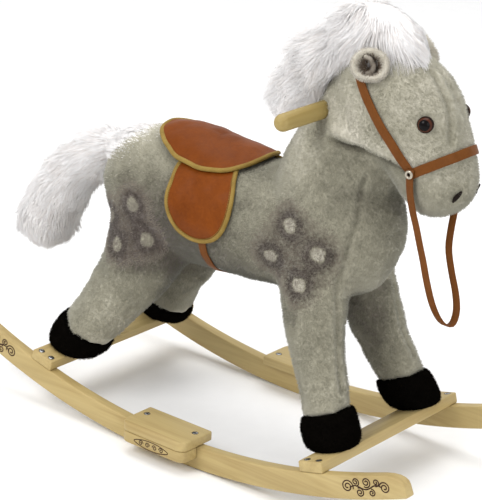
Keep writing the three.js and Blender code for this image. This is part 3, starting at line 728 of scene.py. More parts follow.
def add_studio():
    """A pale floor, a white surrounding and three soft lamps."""
    plain = Nodes("studio_floor", (0.92, 0.92, 0.92, 1), 0.9)
    speckle = plain.noise(30, 2)
    plain.colour(plain.ramp(speckle, [(0.3, (0.91, 0.91, 0.91, 1)), (0.7, (0.93, 0.93, 0.93, 1))]))
    corners = [(9000 * x, 9000 * y, 0) for x, y in ((-1, -1), (1, -1), (1, 1), (-1, 1))]
    floor = add_object("studio_floor", corners, [(0, 1, 2, 3)], [plain.material], body=None, smooth=False)
    world = bpy.data.worlds.new("studio")
    world.use_nodes = True
    world.node_tree.nodes["Background"].inputs["Color"].default_value = (1.0, 1.0, 1.0, 1)
    world.node_tree.nodes["Background"].inputs["Strength"].default_value = 0.8
    bpy.context.scene.world = world
    add_area_light("key", (-0.6, -2.6, 2.6), (0, 0, 0.3), 1.8, 56)
    add_area_light("top", (-0.2, 0.4, 2.6), (0, 0, 0.3), 2.2, 34)
    add_area_light("fill", (2.6, -0.8, 1.4), (0.1, 0, 0.3), 2.0, 16)
    bpy.context.scene.view_settings.view_transform = "Standard"


add_camera()
add_reins()
add_studio()


# ---------------------------------------------------------------- wooden base
def on_arc(radius, angle):
    """A place on a circle round the rockers' centre: x and z."""
    return (radius * math.sin(angle), ROCKER["radius"] - radius * math.cos(angle))


BEND_STEPS = 6


def bend_between(start, control, end):
    """Points along a quadratic curve, without its first."""
    points = []
    for k in range(1, BEND_STEPS + 1):
        t = k / BEND_STEPS
        points.append(tuple((1 - t) ** 2 * a + 2 * t * (1 - t) * b + t * t * c
                            for a, b, c in zip(start, control, end)))
    return points


def prism(outline, low, high, place):
    """A flat outline pushed between two depths; place turns (a, b, depth) into a point."""
    count = len(outline)
    points = [place(a, b, low) for a, b in outline] + [place(a, b, high) for a, b in outline]
    faces = [tuple(range(count)), tuple(range(2 * count - 1, count - 1, -1))]
    for i in range(count):
        k = (i + 1) % count
        faces.append((i, k, count + k, count + i))
    return points, faces


def rocker_outline():
    """A rocker seen from the side: its lower edge, and its upper one with rounded tips."""
    top = ROCKER["radius"] - ROCKER["depth"]
    blunt = ROCKER["radius"] - 0.45 * ROCKER["depth"]
    tip = math.asin(ROCKER["tip_x"] / ROCKER["radius"])
    nose = tip - 0.05
    bottom = [on_arc(ROCKER["radius"], a) for a in np.linspace(-tip, tip, 81)]
    front = bend_between(on_arc(blunt, tip), on_arc(top, tip), on_arc(top, nose))
    along = [on_arc(top, a) for a in np.linspace(nose, -nose, 80)[1:]]
    rear = bend_between(on_arc(top, -nose), on_arc(top, -tip), on_arc(blunt, -tip))
    return bottom + [on_arc(blunt, tip)] + front + along + rear


def spiral(centre, radius, turns, start, hand):
    """A scroll's curl, from its open end to its middle."""
    steps = np.linspace(0, 1, int(16 * turns) + 8)
    angle = start + hand * steps * turns * 2 * math.pi
    reach = radius * (1 - 0.82 * steps)
    return [(centre[0] + r * math.cos(a), centre[1] + r * math.sin(a)) for r, a in zip(reach, angle)]


def scroll_lines():
    """A plain running scroll in its own plane, 70 mm long: a wave with curls rolling off it."""
    wave = [(x, 2.6 * math.sin((x + 24) * math.pi / 16)) for x in np.linspace(-24, 24, 41)]
    return [
        wave,
        spiral((-27.5, 1.5), 9.0, 1.9, -0.4, 1),
        spiral((-14, 7.5), 5.6, 1.6, -1.6, 1),
        spiral((-10, -6.5), 6.4, 1.7, 1.9, -1),
        spiral((2, 6.8), 7.0, 1.8, -2.2, 1),
        spiral((8, -7.0), 5.2, 1.5, 1.6, -1),
        spiral((17, 6.4), 5.2, 1.5, -2.0, 1),
        spiral((28.5, -1.0), 8.0, 1.8, 2.7, -1),
    ]


def add_scrolls(side, word):
    """Burnt scroll lines near both tips, on the rocker's outer face."""
    face_y = side * (ROCKER["outer_y"] + 0.1)
    middle = ROCKER["radius"] - ROCKER["depth"] * 0.52
    shapes = []
    for end in (-1, 1):
        for line in scroll_lines():
            path = []
            for along, up in line:
                x, z = on_arc(middle - up * 0.95, end * (SCROLL_ANGLE + along / middle))
                path.append((x, face_y, z))
            shapes.append(tube(path, radius=0.85, sides=6, flat=0.5, normals=(0, 1.0, 0)))
    add_piece(f"scroll_lines_{word}", joined(shapes), [BURNT], "pine")


def add_rocker(side, word):
    """One curved pine board on edge."""
    low = side * ROCKER["outer_y"] - (ROCKER["thickness"] if side > 0 else 0)
    shape = prism(rocker_outline(), low, low + ROCKER["thickness"], lambda a, b, depth: (a, depth, b))
    add_piece(f"rocker_board_{word}", shape, [PINE["x"]], "pine", f"rocker_{word}", rounded=2.2)


def footrest_outline(inner_y):
    """A footrest seen from above, with its outer corners rounded."""
    low = FOOTREST["x"] - FOOTREST["length"] / 2
    high = low + FOOTREST["length"]
    outer, corner = FOOTREST["outer_y"], FOOTREST["corner"]
    points = [(low, inner_y), (high, inner_y), (high, outer - corner)]
    points += bend_between((high, outer - corner), (high, outer), (high - corner, outer))
    points.append((low + corner, outer))
    points += bend_between((low + corner, outer), (low, outer), (low, outer - corner))
    return points


def add_footrest(side, word):
    """A plate for the foot on a riser, with two screws and an ornament."""
    top = FOOTREST["z"] + FOOTREST["thickness"]
    parts = (
        ("board", FOOTREST["inner_y"], FOOTREST["z"], top, "plate"),
        ("riser", ROCKER["outer_y"] + GAP, BLOCK_Z, FOOTREST["z"] - GAP, "block"),
    )
    for name, inner, low, high, node in parts:
        shape = prism(footrest_outline(inner), low, high, lambda a, b, depth: (a, side * b, depth))
        add_piece(f"footrest_{name}_{word}", shape, [PINE["x"]], "pine", f"footrest_{node}_{word}",
                  rounded=2.0)
    for index, end in enumerate((-1, 1), 1):
        place = (FOOTREST["x"] + end * 41, side * 138, top)
        add_screw(f"footrest_screw_head_{word}_{index}", place, Matrix.Identity(3),
                  f"footrest_screw_{word}_{index}")
    add_plaque(side, word)


def add_plaque(side, word):
    """A small plain ornament on the riser's outer edge: four curls in a thin frame."""
    y = side * (FOOTREST["outer_y"] + 0.15)
    middle = (FOOTREST["x"], (BLOCK_Z + FOOTREST["z"]) / 2)
    frame_line = [(math.cos(a) * 27 * (1 + 0.06 * math.cos(4 * a)), math.sin(a) * 6.0)
                  for a in np.linspace(0, 2 * math.pi, 61)[:-1]]
    curls = [spiral((a, 0), 3.8, 1.4, 0 if a < 0 else math.pi, 1 if a < 0 else -1) for a in (-17, -6, 6, 17)]
    shapes = []
    for line in (frame_line, *curls):
        path = [(middle[0] + a, y, middle[1] + b) for a, b in line]
        closed = line is frame_line
        shapes.append(tube(path, radius=0.6, sides=6, flat=0.5, normals=(0, 1.0, 0), closed=closed))
    add_piece(f"riser_ornament_{word}", joined(shapes), [BURNT], "pine")


def lathe(profile, sides, place, axis, closed=False):
    """Turned shape: (radius, height) pairs round an axis through a place."""
    axis = Vector(axis).normalized()
    turn = Vector((0, 0, 1)).rotation_difference(axis).to_matrix()
    points = []
    for radius, height in profile:
        for j in range(sides):
            a = 2 * math.pi * j / sides
            spot = turn @ Vector((radius * math.cos(a), radius * math.sin(a), height))
            points.append(tuple(Vector(place) + spot))
    return points, shell_faces(len(profile), sides, closed)


def two_tone(made, first_faces):
    """Gives all faces after the first ones the second material."""
    for index, polygon in enumerate(made.data.polygons):
        polygon.material_index = 0 if index < first_faces else 1


def add_screw(name, place, turn, node):
    """A countersunk cross-head screw, its head level with the wood; its cross and the rim round it are dark,
    as painted shade in the slots and the gap.
    """
    up = turn @ Vector((0, 0, 1))
    head = [(0.1, -3.0), (1.9, -2.8), (3.5, -0.5), (3.6, -0.1), (3.3, 0.15), (1.5, 0.27), (0.1, 0.3)]
    shapes = [lathe(head, 20, place, up)]
    for across in (Vector((1, 0, 0)), Vector((0, 1, 0))):
        run = turn @ across
        ends = [tuple(Vector(place) + run * s * 2.1 + up * 0.25) for s in (-1, -0.4, 0.4, 1)]
        shapes.append(tube(ends, radius=0.45, sides=6, flat=0.6, normals=tuple(up)))
    shapes.append(lathe([(3.5, 0.05), (4.3, 0.05), (4.3, 0.12), (3.5, 0.2)], 24, place, up, closed=True))
    made = add_piece(name, joined(shapes), [STEEL, HOLE_SHADE], "zinc_steel", node)
    two_tone(made, len(shapes[0][1]))


def crossbar_frame(end):
    """The middle of a crossbar and its own axes: along the rocker, across, and up off it."""
    radius = ROCKER["radius"] - ROCKER["depth"] - GAP - RAIL["thickness"] / 2
    x, z = on_arc(radius, end * RAIL["angle"])
    c, s = math.cos(RAIL["angle"]), end * math.sin(RAIL["angle"])
    axes = Matrix(((c, 0, -s), (0, 1, 0), (s, 0, c)))
    return Vector((x, 0, z)), axes


def add_crossbar(end, name):
    """A flat board from rocker to rocker, with its four screws and two bolts."""
    middle, axes = crossbar_frame(end)
    half_width, half_length, half_height = RAIL["width"] / 2, ROCKER["outer_y"], RAIL["thickness"] / 2
    outline = [(-half_width, -half_height), (half_width, -half_height),
               (half_width, half_height), (-half_width, half_height)]
    shape = prism(outline, -half_length, half_length,
                  lambda a, b, depth: tuple(middle + axes @ Vector((a, depth, b))))
    add_piece(f"{name}_crossbar", shape, [PINE["y"]], "pine", f"{name}_rail", rounded=1.8)
    for index, (side, step) in enumerate(((-1, -1), (-1, 1), (1, -1), (1, 1)), 1):
        spot = Vector((step * RAIL["screw_x"], side * RAIL["screw_y"], half_height))
        add_screw(f"{name}_crossbar_screw_{index}", tuple(middle + axes @ spot), axes,
                  f"{name}_rail_screw_{index}")
    for side, word in SIDES:
        add_bolt(end, side, word, name)


def add_bolt(end, side, word, name):
    """Hexagon bolt up through the crossbar into a hoof, over a plain washer."""
    middle, axes = crossbar_frame(end)
    x, y = HOOF_PLACE[end]
    along = (x - middle.x) / math.cos(RAIL["angle"])
    place = tuple(middle + axes @ Vector((along, side * y, -RAIL["thickness"] / 2 - GAP)))
    down = axes @ Vector((0, 0, -1))
    washer = lathe([(3.1, 0), (8.6, 0), (8.8, 0.3), (8.6, 1.2), (3.1, 1.2)], 28, place, down, closed=True)
    head = lathe([(6.6, 1.2), (7.0, 1.6), (7.0, 4.5), (6.4, 5.0), (3.0, 5.0)], 6, place, down)
    crown = lathe([(5.9, 4.6), (5.2, 5.05), (2.6, 5.2), (0.1, 5.2)], 24, place, down)
    made = add_piece(f"{name}_hoof_bolt_{word}", joined([washer, head, crown]), [STEEL], "zinc_steel",
                     f"hoof_bolt_{name}_{word}", smooth=False)
    bevel(made, 0.3, segments=2)


def add_handle():
    """The hand grip: one dowel through the neck with rounded ends."""
    radius, reach = HANDLE["radius"], HANDLE["reach"]
    bend = [(radius * math.sin(a), reach - radius + radius * math.cos(a))
            for a in np.linspace(1.5708, 0.02, 9)]
    profile = [(r, -y) for r, y in reversed(bend)]
    profile += [(radius, y) for y in np.linspace(-reach + radius + 8, reach - radius - 8, 9)]
    profile += bend
    shape = lathe(profile, 32, (HANDLE["x"], 0, HANDLE["z"]), (0, 1, 0))
    return add_piece("hand_grip", shape, [GRIP_PINE], "pine", "handle_dowel")


for side, word in SIDES:
    add_rocker(side, word)
    add_scrolls(side, word)
    add_footrest(side, word)
for end, name in ENDS:
    add_crossbar(end, name)
HAND_GRIP = add_handle()


# ---------------------------------------------------------------- stuffed body
def add_skin():
    """The stuffed body, neck, head and legs under one even skin."""
    shapes = [loft(form, grow=-SKIN_INSET) for form in (TORSO, NECK, HEAD)]
    for side in (-1, 1):
        shapes += [loft(form, side, grow=-SKIN_INSET) for form in (FRONT_LEG, REAR_LEG)]
    made = add_object("plush_skin", *joined(shapes), [COAT_BACKING])
    remesh(made, voxel=5.4, smoothing=6)
    return made


def fill_skin(skin):
    """Stuffs the sewn skin, then works the finer shapes into it."""
    inflate(skin, SEAM_LINES, pressure=3.2, cap=3.5)
    subdivide(skin)
    set_coordinates(skin, sculpted(coordinates(skin), vertex_normals(skin)))
    take_over(skin, "grey_plush", "plush_torso", "plush_neck", "plush_head",
              *[f"leg_{name}_{word}" for _, name in ENDS for _, word in SIDES])


def inflate(obj, held_lines, pressure, cap, width=4.0):
    """Fills a closed skin by cloth simulation, held back along its seams."""
    before = coordinates(obj)
    held = np.zeros(len(before))
    for line in held_lines:
        held = np.maximum(held, np.exp(-(distance_to_line(before, line) / width) ** 2))
    group = obj.vertex_groups.new(name="held")
    for level in range(1, 11):
        chosen = np.nonzero(np.round(held * 10).astype(int) == level)[0]
        group.add(chosen.tolist(), level / 10, "REPLACE")
    cloth = obj.modifiers.new("fill", "CLOTH")
    cloth.settings.quality = 3
    cloth.settings.mass = 0.25
    cloth.settings.use_pressure = True
    cloth.settings.uniform_pressure_force = pressure
    cloth.settings.effector_weights.gravity = 0
    cloth.settings.vertex_group_mass = "held"
    cloth.settings.tension_stiffness = 10
    cloth.settings.compression_stiffness = 10
    cloth.settings.bending_stiffness = 1.5
    cloth.point_cache.frame_start = 1
    cloth.point_cache.frame_end = 20
    for frame_number in range(1, 21):
        bpy.context.scene.frame_set(frame_number)
    moved = coordinates(obj.evaluated_get(bpy.context.evaluated_depsgraph_get())) - before
    obj.modifiers.clear()
    obj.vertex_groups.clear()
    bpy.context.scene.frame_set(1)
    reach = np.linalg.norm(moved, axis=1, keepdims=True)
    set_coordinates(obj, before + moved * np.minimum(1, cap / np.maximum(reach, 1e-6)))


def bump_at(points, centre, radius):
    """A soft weight round a place and round its mirror image."""
    near = np.minimum(*(np.linalg.norm(points * (1, side, 1) - centre, axis=1) for side in (1, -1)))
    return np.exp(-(near / radius) ** 2)


def sculpted(points, normals):
    """Fuller cheeks and haunches, hollows for the eyes, and pulled-in seams."""
    lift = 1.6 * noise_at(points, 46, 5) - jaw_fold(points)
    for height, middle, radius in BUMPS:
        lift += height * bump_at(points, middle, radius)
    lift += 0.8 * noise_at(points, 17, 6)
    for line in SEAM_LINES:
        away = distance_to_line(points, line)
        gathers = 1 + 0.45 * noise_at(points, 9, 7)
        lift -= 2.8 * np.exp(-(away / 3.4) ** 2) * gathers
        lift += 1.0 * np.exp(-((away - 9) / 4) ** 2)
    low = np.clip((points[:, 2] - 112) / 25, 0, 1)
    return points + normals * (lift * low)[:, None]


def jaw_fold(points):
    """How far the skin is drawn in below the jaw, where the stuffed head rolls over the neck."""
    stops = np.array(SEAMS["jaw"])
    below = np.interp(points[:, 0], stops[:, 0], stops[:, 2]) - points[:, 2]
    along = np.clip((points[:, 0] - 154) / 18, 0, 1) * np.clip((286 - points[:, 0]) / 18, 0, 1)
    crease = 5.5 * np.exp(-((below - 2) / 6) ** 2)
    inset = 6.5 * np.exp(-(np.maximum(below, 0) / 34) ** 2) * np.clip((below + 3) / 6, 0, 1)
    roll = 3.0 * np.exp(-((below + 15) / 10) ** 2)
    return along * (crease + inset - roll) * np.clip((np.abs(points[:, 1]) - 12) / 14, 0, 1)


def seam_lines(skin):
    """The sewn lines of both sides, laid on the skin."""
    tree = tree_of(skin)
    lines = []
    for stops in SEAMS.values():
        for side in (-1, 1):
            line = resample(mirrored(stops, side), 24)
            line = np.array([tree.find_nearest(Vector(p))[0] for p in line])
            line[1:-1] = (line[:-2] + 2 * line[1:-1] + line[2:]) / 4
            lines.append(line)
    return lines


def coat_tone_with_shade(points):
    """The coat's tone at each point, 0 dark to 1 pale, with painted shade under the body, between the legs,
    in the jaw fold, along the seams and in some patches, and with how much halo and spot is there.
    """
    x, y, z = points.T
    value = 0.56 + 0.11 * noise_at(points, 75, 1) + 0.07 * noise_at(points, 26, 2)
    value += 0.04 * noise_at(points, 9, 3)
    value += 0.1 * np.clip((170 - z) / 60, 0, 1) + 0.22 * np.clip((z - 385) / 50, 0, 1)
    # Painted shade: darker along the underside of the body, from z 262 down to the belly.
    value -= 0.28 * np.clip((262 - z) / 45, 0, 1) * np.clip((z - 190) / 25, 0, 1) * (np.abs(x) < 150)
    # Painted shade: darker on the legs' inner sides and between the legs, below z 250.
    value -= 0.3 * np.clip((64 - np.abs(y)) / 22, 0, 1) * (z < 250)
    # Painted shade in the fold below the jaw.
    value -= 0.04 * jaw_fold(points)
    # Darker patches from the list above; two of them are painted shade and shadow.
    for change, middle_x, middle_z, wide, high in TONE_AND_SHADE_PATCHES:
        value += change * np.exp(-((x - middle_x) / wide) ** 2 - ((z - middle_z) / high) ** 2)
    value += 0.5 * np.exp(-(np.linalg.norm(points - TAIL_ROOT, axis=1) / 62) ** 2)
    halo = np.zeros(len(points))
    spot = np.zeros(len(points))
    wobble = 1.6 * noise_at(points, 9, 4)
    for centre in DAPPLE_PLACES:
        away = np.linalg.norm(points - centre, axis=1) + wobble
        beyond = np.maximum(away - DAPPLE_RADIUS - 1, 0)
        spot = np.maximum(spot, np.clip((DAPPLE_RADIUS + 1 - away) / 3.0, 0, 1))
        halo += 0.72 * np.exp(-(beyond / HALO_RADIUS) ** 2) + 0.26 * np.exp(-(beyond / SMOKE_RADIUS) ** 2)
    # Painted shade along the sewn seams' grooves.
    for line in SEAM_LINES:
        value -= 0.14 * np.exp(-(distance_to_line(points, line) / 3.2) ** 2)
    return np.clip(value, 0, 1), np.clip(halo, 0, 1) * (1 - spot), spot


def set_tone(obj, values):
    """Stores a tone at each point, which the backing materials read."""
    attribute = obj.data.attributes.new("tone", "FLOAT", "POINT")
    attribute.data.foreach_set("value", np.asarray(values, np.float32))


SKIN = add_skin()
SEAM_LINES = seam_lines(SKIN)
fill_skin(SKIN)
SKIN_TREE = tree_of(SKIN)
DAPPLE_PLACES = [np.array(SKIN_TREE.find_nearest(Vector(mirrored(centre, side)))[0])
                 for centre in DAPPLES for side in (-1, 1)]
value, halo, spot = coat_tone_with_shade(coordinates(SKIN))
set_tone(SKIN, np.clip(value * (1 - 0.8 * halo) + spot * 0.3, 0, 1))


def add_hoof(end, side, name, word):
    """A stuffed hoof, flat where it stands on its crossbar."""
    form = FRONT_HOOF if end > 0 else REAR_HOOF
    made = add_object(f"hoof_skin_{name}_{word}", *loft(form, side, grow=-1.6), [BLACK_BACKING])
    remesh(made, voxel=3.2, smoothing=3)
    middle, axes = crossbar_frame(end)
    points = coordinates(made)
    up = np.array(axes @ Vector((0, 0, 1)))
    height = (points - np.array(middle)) @ up - RAIL["thickness"] / 2 - GAP
    points = points - up * np.minimum(height, 0)[:, None]
    points += vertex_normals(made) * (0.5 * noise_at(points, 14, 9) * (height > 2))[:, None]
    set_coordinates(made, points)
    set_tone(made, 0.4 + 0.3 * noise_at(points, 10, 8))
    take_over(made, "black_plush", f"hoof_{name}_{word}")
    return made


HOOVES = [add_hoof(end, side, name, word) for end, name in ENDS for side, word in SIDES]


# ---------------------------------------------------------------- face
def add_eye(side, word):
    """A glossy safety eye in a sewn rim."""
    centre = np.array((EYE["x"], side * EYE["y"], EYE["z"]))
    aim = unit(EYE_AIM) * (1, side, 1)
    radius = EYE["radius"] - 1.0
    profile = [(radius * math.sin(a), radius * math.cos(a)) for a in np.linspace(0.03, 2.6, 20)]
    centre = centre - aim * 2.2
    made = add_piece(f"eye_ball_{word}", lathe(profile, 32, centre, aim), [eye_material(side, word)],
                     "eye_gloss", f"eye_{word}")
    ring = [(9.0 + math.cos(a), 3.2 + math.sin(a)) for a in np.linspace(0, 2 * math.pi, 11)[:-1]]
    add_piece(f"eye_rim_{word}", lathe(ring, 36, centre, aim, closed=True), [THREAD], "eye_gloss")
    return made


def nearest_on_skin(point):
    """The skin's nearest place to a point, and the way it faces there."""
    place, normal, _, _ = SKIN_TREE.find_nearest(Vector(point))
    return np.array(place), np.array(normal)


def add_nostril(side, word):
    """A satin-stitched slit: rows of dark thread across an almond."""
    start, _ = nearest_on_skin(mirrored((321.5, -25.5, 403.5), side))
    end, _ = nearest_on_skin(mirrored((329.5, -19.5, 418.0), side))
    shapes = []
    for t in np.linspace(0.03, 0.97, 19):
        middle, normal = nearest_on_skin(start + (end - start) * t)
        across = unit(np.cross(normal, end - start))
        half = 2.6 * math.sin(math.pi * t) ** 0.6 + 0.4
        row = [middle + normal * (2.6 + 1.2 * (1 - s * s)) + across * s * half for s in (-1, -0.5, 0, 0.5, 1)]
        shapes.append(tube(row, radius=0.55, sides=6, flat=1.0, normals=normal))
    return add_piece(f"nostril_stitch_{word}", joined(shapes), [THREAD], "black_plush")


def ear_rim(side):
    """The middle of an ear's rim, and the way the ear opens."""
    return np.array((EAR["x"], side * EAR["y"], EAR["z"])), unit(np.array(EAR["aim"]) * (1, side, 1))


def place_in_ear(points, side):
    """How far along an ear's aim points are from its rim, and how far out from its axis."""
    rim, aim = ear_rim(side)
    away = points - rim
    height = away @ aim
    return height, np.linalg.norm(away - height[:, None] * aim, axis=1)


def ear_point(side, around, radius, height):
    """A place on an ear: round its aim, at a radius and a height along the aim."""
    rim, aim = ear_rim(side)
    up = unit(np.array((0, 0, 1)) - aim * aim[2])
    across = np.cross(up, aim)
    wide = 1 + 0.05 * math.cos(2 * around)
    pinch = 1 - 0.12 * math.exp(-((math.remainder(around + math.pi / 2, 2 * math.pi)) / 0.6) ** 2)
    spread = radius * wide * pinch
    return rim + aim * height + spread * (math.cos(around) * across + math.sin(around) * up)


EAR_FOLD = (  # round the aim, radius and height of each place along the fold beside the cup
    (2.2, 14, -5), (1.7, 9, -6), (1.2, 5, -8), (0.2, 4, -9), (-0.9, 6, -9), (-1.5, 10, -8), (-1.9, 13, -7),
)


def add_ear(side, word):
    """A cupped ear with a thick rolled rim and a fold of cloth inside."""
    outer = [(6, -34), (12, -33), (16, -26), (19, -16), (20.9, -8), (21.3, -4), (20.4, -0.8), (18.4, 0.2),
             (16.2, -1.0), (14.4, -5), (12.5, -10), (8.5, -15), (4, -17.5), (0.5, -18)]
    sides = 40
    points = []
    for radius, height in outer:
        for j in range(sides):
            points.append(ear_point(side, 2 * math.pi * j / sides, radius, height))
    shape = (points, shell_faces(len(outer), sides))
    made = add_piece(f"ear_skin_{word}", shape, [EAR_BACKING], "grey_plush", f"ear_{word}")
    remesh(made, voxel=2.0, smoothing=2)
    fold = resample([ear_point(side, *spot) for spot in EAR_FOLD], 26)
    fold_tube = tube(fold, radius=3.0, sides=12, flat=0.9)
    roll = add_piece(f"ear_fold_{word}", fold_tube, [EAR_BACKING], "grey_plush")
    for obj, extra in ((made, 0.0), (roll, 0.25)):
        height, reach = place_in_ear(coordinates(obj), side)
        # The backing darkens deeper inside the cup, as painted shade; the fold's is set 0.25 paler.
        inside = np.clip((15.5 - reach) / 4, 0, 1) * (height > -20)
        shade = np.clip(1 - inside * np.clip(-height / 5, 0.15, 1), 0, 1)
        set_tone(obj, np.clip(shade + extra, 0, 1))
    return made, roll


EYES = [add_eye(side, word) for side, word in SIDES]
NOSTRILS = [add_nostril(side, word) for side, word in SIDES]
EARS = [add_ear(side, word) for side, word in SIDES]


# ---------------------------------------------------------------- saddle
SEAT_OUTLINE = (
    (26, 0), (24, 15), (16, 31), (-2, 47), (-32, 54), (-66, 55), (-96, 49), (-120, 37), (-136, 20),
)
SEAT_REAR_X = -142
STITCH_PITCH = 3.2
FLAP_OUTLINE = (
    (-72, 368), (-73, 345), (-72, 322), (-63, 301), (-46, 286), (-22, 279), (4, 284), (22, 298), (30, 318),
    (28, 340), (18, 355), (-7, 370),
)


def cast(origin, direction):
    """Where a ray meets the skin and how the skin faces there, or None twice."""
    place, normal, _, _ = SKIN_TREE.ray_cast(Vector(origin), Vector(direction))
    return (None, None) if place is None else (np.array(place), np.array(normal))


def ring_of(points, count):
    """Evenly spaced points round a closed smooth line."""
    loop = np.asarray(points, float)
    loop = np.vstack([loop[-2:], loop, loop[:3]])
    fine = smooth_sections(loop, 12)[24:-24]
    run = np.r_[0, np.cumsum(np.linalg.norm(np.diff(fine, axis=0), axis=1))]
    at = np.linspace(0, run[-1], count, endpoint=False)
    return np.stack([np.interp(at, run, fine[:, k]) for k in range(fine.shape[1])], axis=1)


def filled(count, rings):
    """Faces of rings shrinking to a middle point, which comes last."""
    faces = ring_faces(rings, count)
    for j in range(count):
        faces.append(((rings - 1) * count + j, (rings - 1) * count + (j + 1) % count, rings * count))
    return faces


def draped(outline, rings, on_surface):
    """Points of a panel laid on the body, from its edge in to its middle."""
    middle = outline.mean(0)
    points = []
    normals = []
    for i in range(rings + 1):
        share = 1 - i / rings
        spots = [middle] if i == rings else middle + (outline - middle) * share
        for spot in spots:
            place, normal = on_surface(spot)
            points.append(place)
            normals.append(normal)
    return np.array(points), np.array(normals)


def smooth_loop(values):
    """A closed line's points or normals, each evened out with its neighbours."""
    for _ in range(3):
        values = (np.roll(values, 1, axis=0) + 2 * values + np.roll(values, -1, axis=0)) / 4
    return values


def add_flap(side, word):
    """A leather flap hanging down the side, bound with tape round its edge."""
    count, rings = 84, 16
    points, normals = draped(ring_of(FLAP_OUTLINE, count), rings,
                             lambda spot: cast((spot[0], side * 140, spot[1]), (0, -side, 0)))
    normals = unit(normals * (1, 1, 0.6))
    share = np.repeat(1 - np.arange(rings + 1) / rings, count)[:len(points)]
    swell = 1.2 * (1 - share**2)
    points = points + normals * (5.2 + swell)[:, None]
    made = add_piece(f"saddle_flap_panel_{word}", (points, filled(count, rings)), [SADDLE_LEATHER],
                     "tan_leather", f"saddle_flap_{word}")
    shell = made.modifiers.new("thickness", "SOLIDIFY")
    shell.thickness = 0.0024
    shell.offset = -1 if np.array(made.data.polygons[0].normal) @ (0, side, 0) > 0 else 1
    apply_modifiers(made)
    edge = smooth_loop(points[:count])
    facing = smooth_loop(normals[:count])
    inward = unit(points[count:2 * count] - points[:count])
    edging = tube(edge + inward * 1.2 - facing * 0.9, radius=3.1, sides=12, flat=0.78, normals=facing,
                  closed=True)
    tape = add_piece(f"saddle_flap_binding_{word}", edging, [TAPE], "tan_leather")
    thread = add_stitches(f"saddle_flap_stitching_{word}", edge + inward * 4.6 + facing * 0.5, facing)
    return made, tape


def add_stitches(name, line, normals):
    """A row of short raised stitches along a closed line."""
    loop = smooth_loop(line)
    lengths = np.linalg.norm(np.roll(loop, -1, axis=0) - loop, axis=1)
    run = np.r_[0, np.cumsum(lengths)]
    around = np.vstack([loop, loop[:1]])
    facing = np.vstack([normals, normals[:1]])
    count = int(run[-1] / STITCH_PITCH)
    shapes = []
    for k in range(count):
        ends = [(k + s) * run[-1] / count for s in (0.14, 0.5, 0.86)]
        spots = np.stack([np.interp(ends, run, around[:, c]) for c in range(3)], axis=1)
        out = np.stack([np.interp(ends, run, facing[:, c]) for c in range(3)], axis=1)
        spots = spots + out * np.array([[-0.2], [0.25], [-0.2]])
        shapes.append(tube(spots, radius=0.42, sides=5, flat=1.0, normals=out))
    made = add_object(name, *joined(shapes), [TAPE])
    take_over(made, "tan_leather")
    return made


def add_seat():
    """The padded seat, higher behind, bound with tape round its edge."""
    count, rings = 104, 22
    right = [(x, -y) for x, y in SEAT_OUTLINE]
    left = [(x, y) for x, y in reversed(SEAT_OUTLINE[1:])]
    points, normals = draped(ring_of([*right, (SEAT_REAR_X, 0), *left], count), rings,
                             lambda spot: cast((spot[0], spot[1], 470), (0, 0, -1)))
    share = np.repeat(1 - np.arange(rings + 1) / rings, count)[:len(points)]
    rear = np.clip((20 - points[:, 0]) / 150, 0, 1)
    rear = rear * rear * (3 - 2 * rear)
    lean = unit(normals * (1, 1, 1.4))
    dome = (4.0 + 9.0 * rear) * (1 - share**2.6)
    top = points + lean * (9.4 + dome + 3.0 * rear * share)[:, None]
    under = points + lean * (7.0 + 3.0 * rear * share)[:, None]
    faces = filled(count, rings)
    start = len(top)
    faces += [tuple(start + v for v in reversed(face)) for face in filled(count, rings)]
    faces += [(j, start + j, start + (j + 1) % count, (j + 1) % count) for j in range(count)]
    made = add_piece("saddle_seat_pad", (np.vstack([top, under]), faces), [SADDLE_LEATHER],
                     "tan_leather", "saddle_seat")
    inflate(made, [top[[j, j]] for j in range(0, count, 4)], pressure=4.0, cap=3.0, width=8.0)
    subdivide(made)
    edge = smooth_loop((top[:count] + under[:count]) / 2)
    facing = smooth_loop(lean[:count])
    inward = unit(top[count:2 * count] - top[:count])
    edging = tube(edge + inward * 1.4, radius=3.4, sides=12, flat=0.85, normals=facing, closed=True)
    tape = add_piece("saddle_seat_binding", edging, [TAPE], "tan_leather")
    seam = top[count:2 * count] * 0.35 + top[:count] * 0.65 + facing * 0.9
    add_stitches("saddle_seat_stitching", seam, facing)
    return made, tape


def add_girth():
    """The strap that holds the saddle, from flap to flap under the belly."""
    path = []
    normals = []
    for angle in np.linspace(-0.12, -math.pi + 0.12, 61):
        x = -9 - 3 * math.sin(-angle)
        place, normal = cast((x, 0, 298), (0, math.cos(angle), math.sin(angle)))
        if place is not None and place[2] < 297:
            path.append(place)
            normals.append(-normal if normal @ (place - (x, 0, 298)) < 0 else normal)
    path = np.array(path)
    normals = np.array(normals)
    strap = ribbon(path + normals * 2.4, normals, width=STRAP["width"], thickness=1.8)
    return add_piece("girth_band", strap, [STRAP_LEATHER], "tan_leather", "girth_strap")


SADDLE = [*add_seat()]
for side, word in SIDES:
    SADDLE += add_flap(side, word)
GIRTH = add_girth()


# ---------------------------------------------------------------- bridle
def head_path(toward, tab):
    """The line round the head through both rivets and a place at its far side, with normals."""
    rivet = np.array((RIVET["x"], 0, RIVET["z"]))
    run = unit(np.array((toward[0], 0, toward[1])) - rivet)
    centre = rivet + run * 30
    path = []
    normals = []
    for angle in np.linspace(-math.pi, math.pi, 241):
        way = math.cos(angle) * run + math.sin(angle) * np.array((0, 1, 0))
        place, normal = cast(centre, way)
        if place is not None and (place - rivet) @ run > -tab:
            path.append(place)
            normals.append(normal if normal @ way > 0 else -normal)
    path = np.array(path)
    normals = np.array(normals)
    for _ in range(12):
        path[1:-1] = (path[:-2] + 2 * path[1:-1] + path[2:]) / 4
        normals[1:-1] = (normals[:-2] + 2 * normals[1:-1] + normals[2:]) / 4
    return path, unit(normals), run


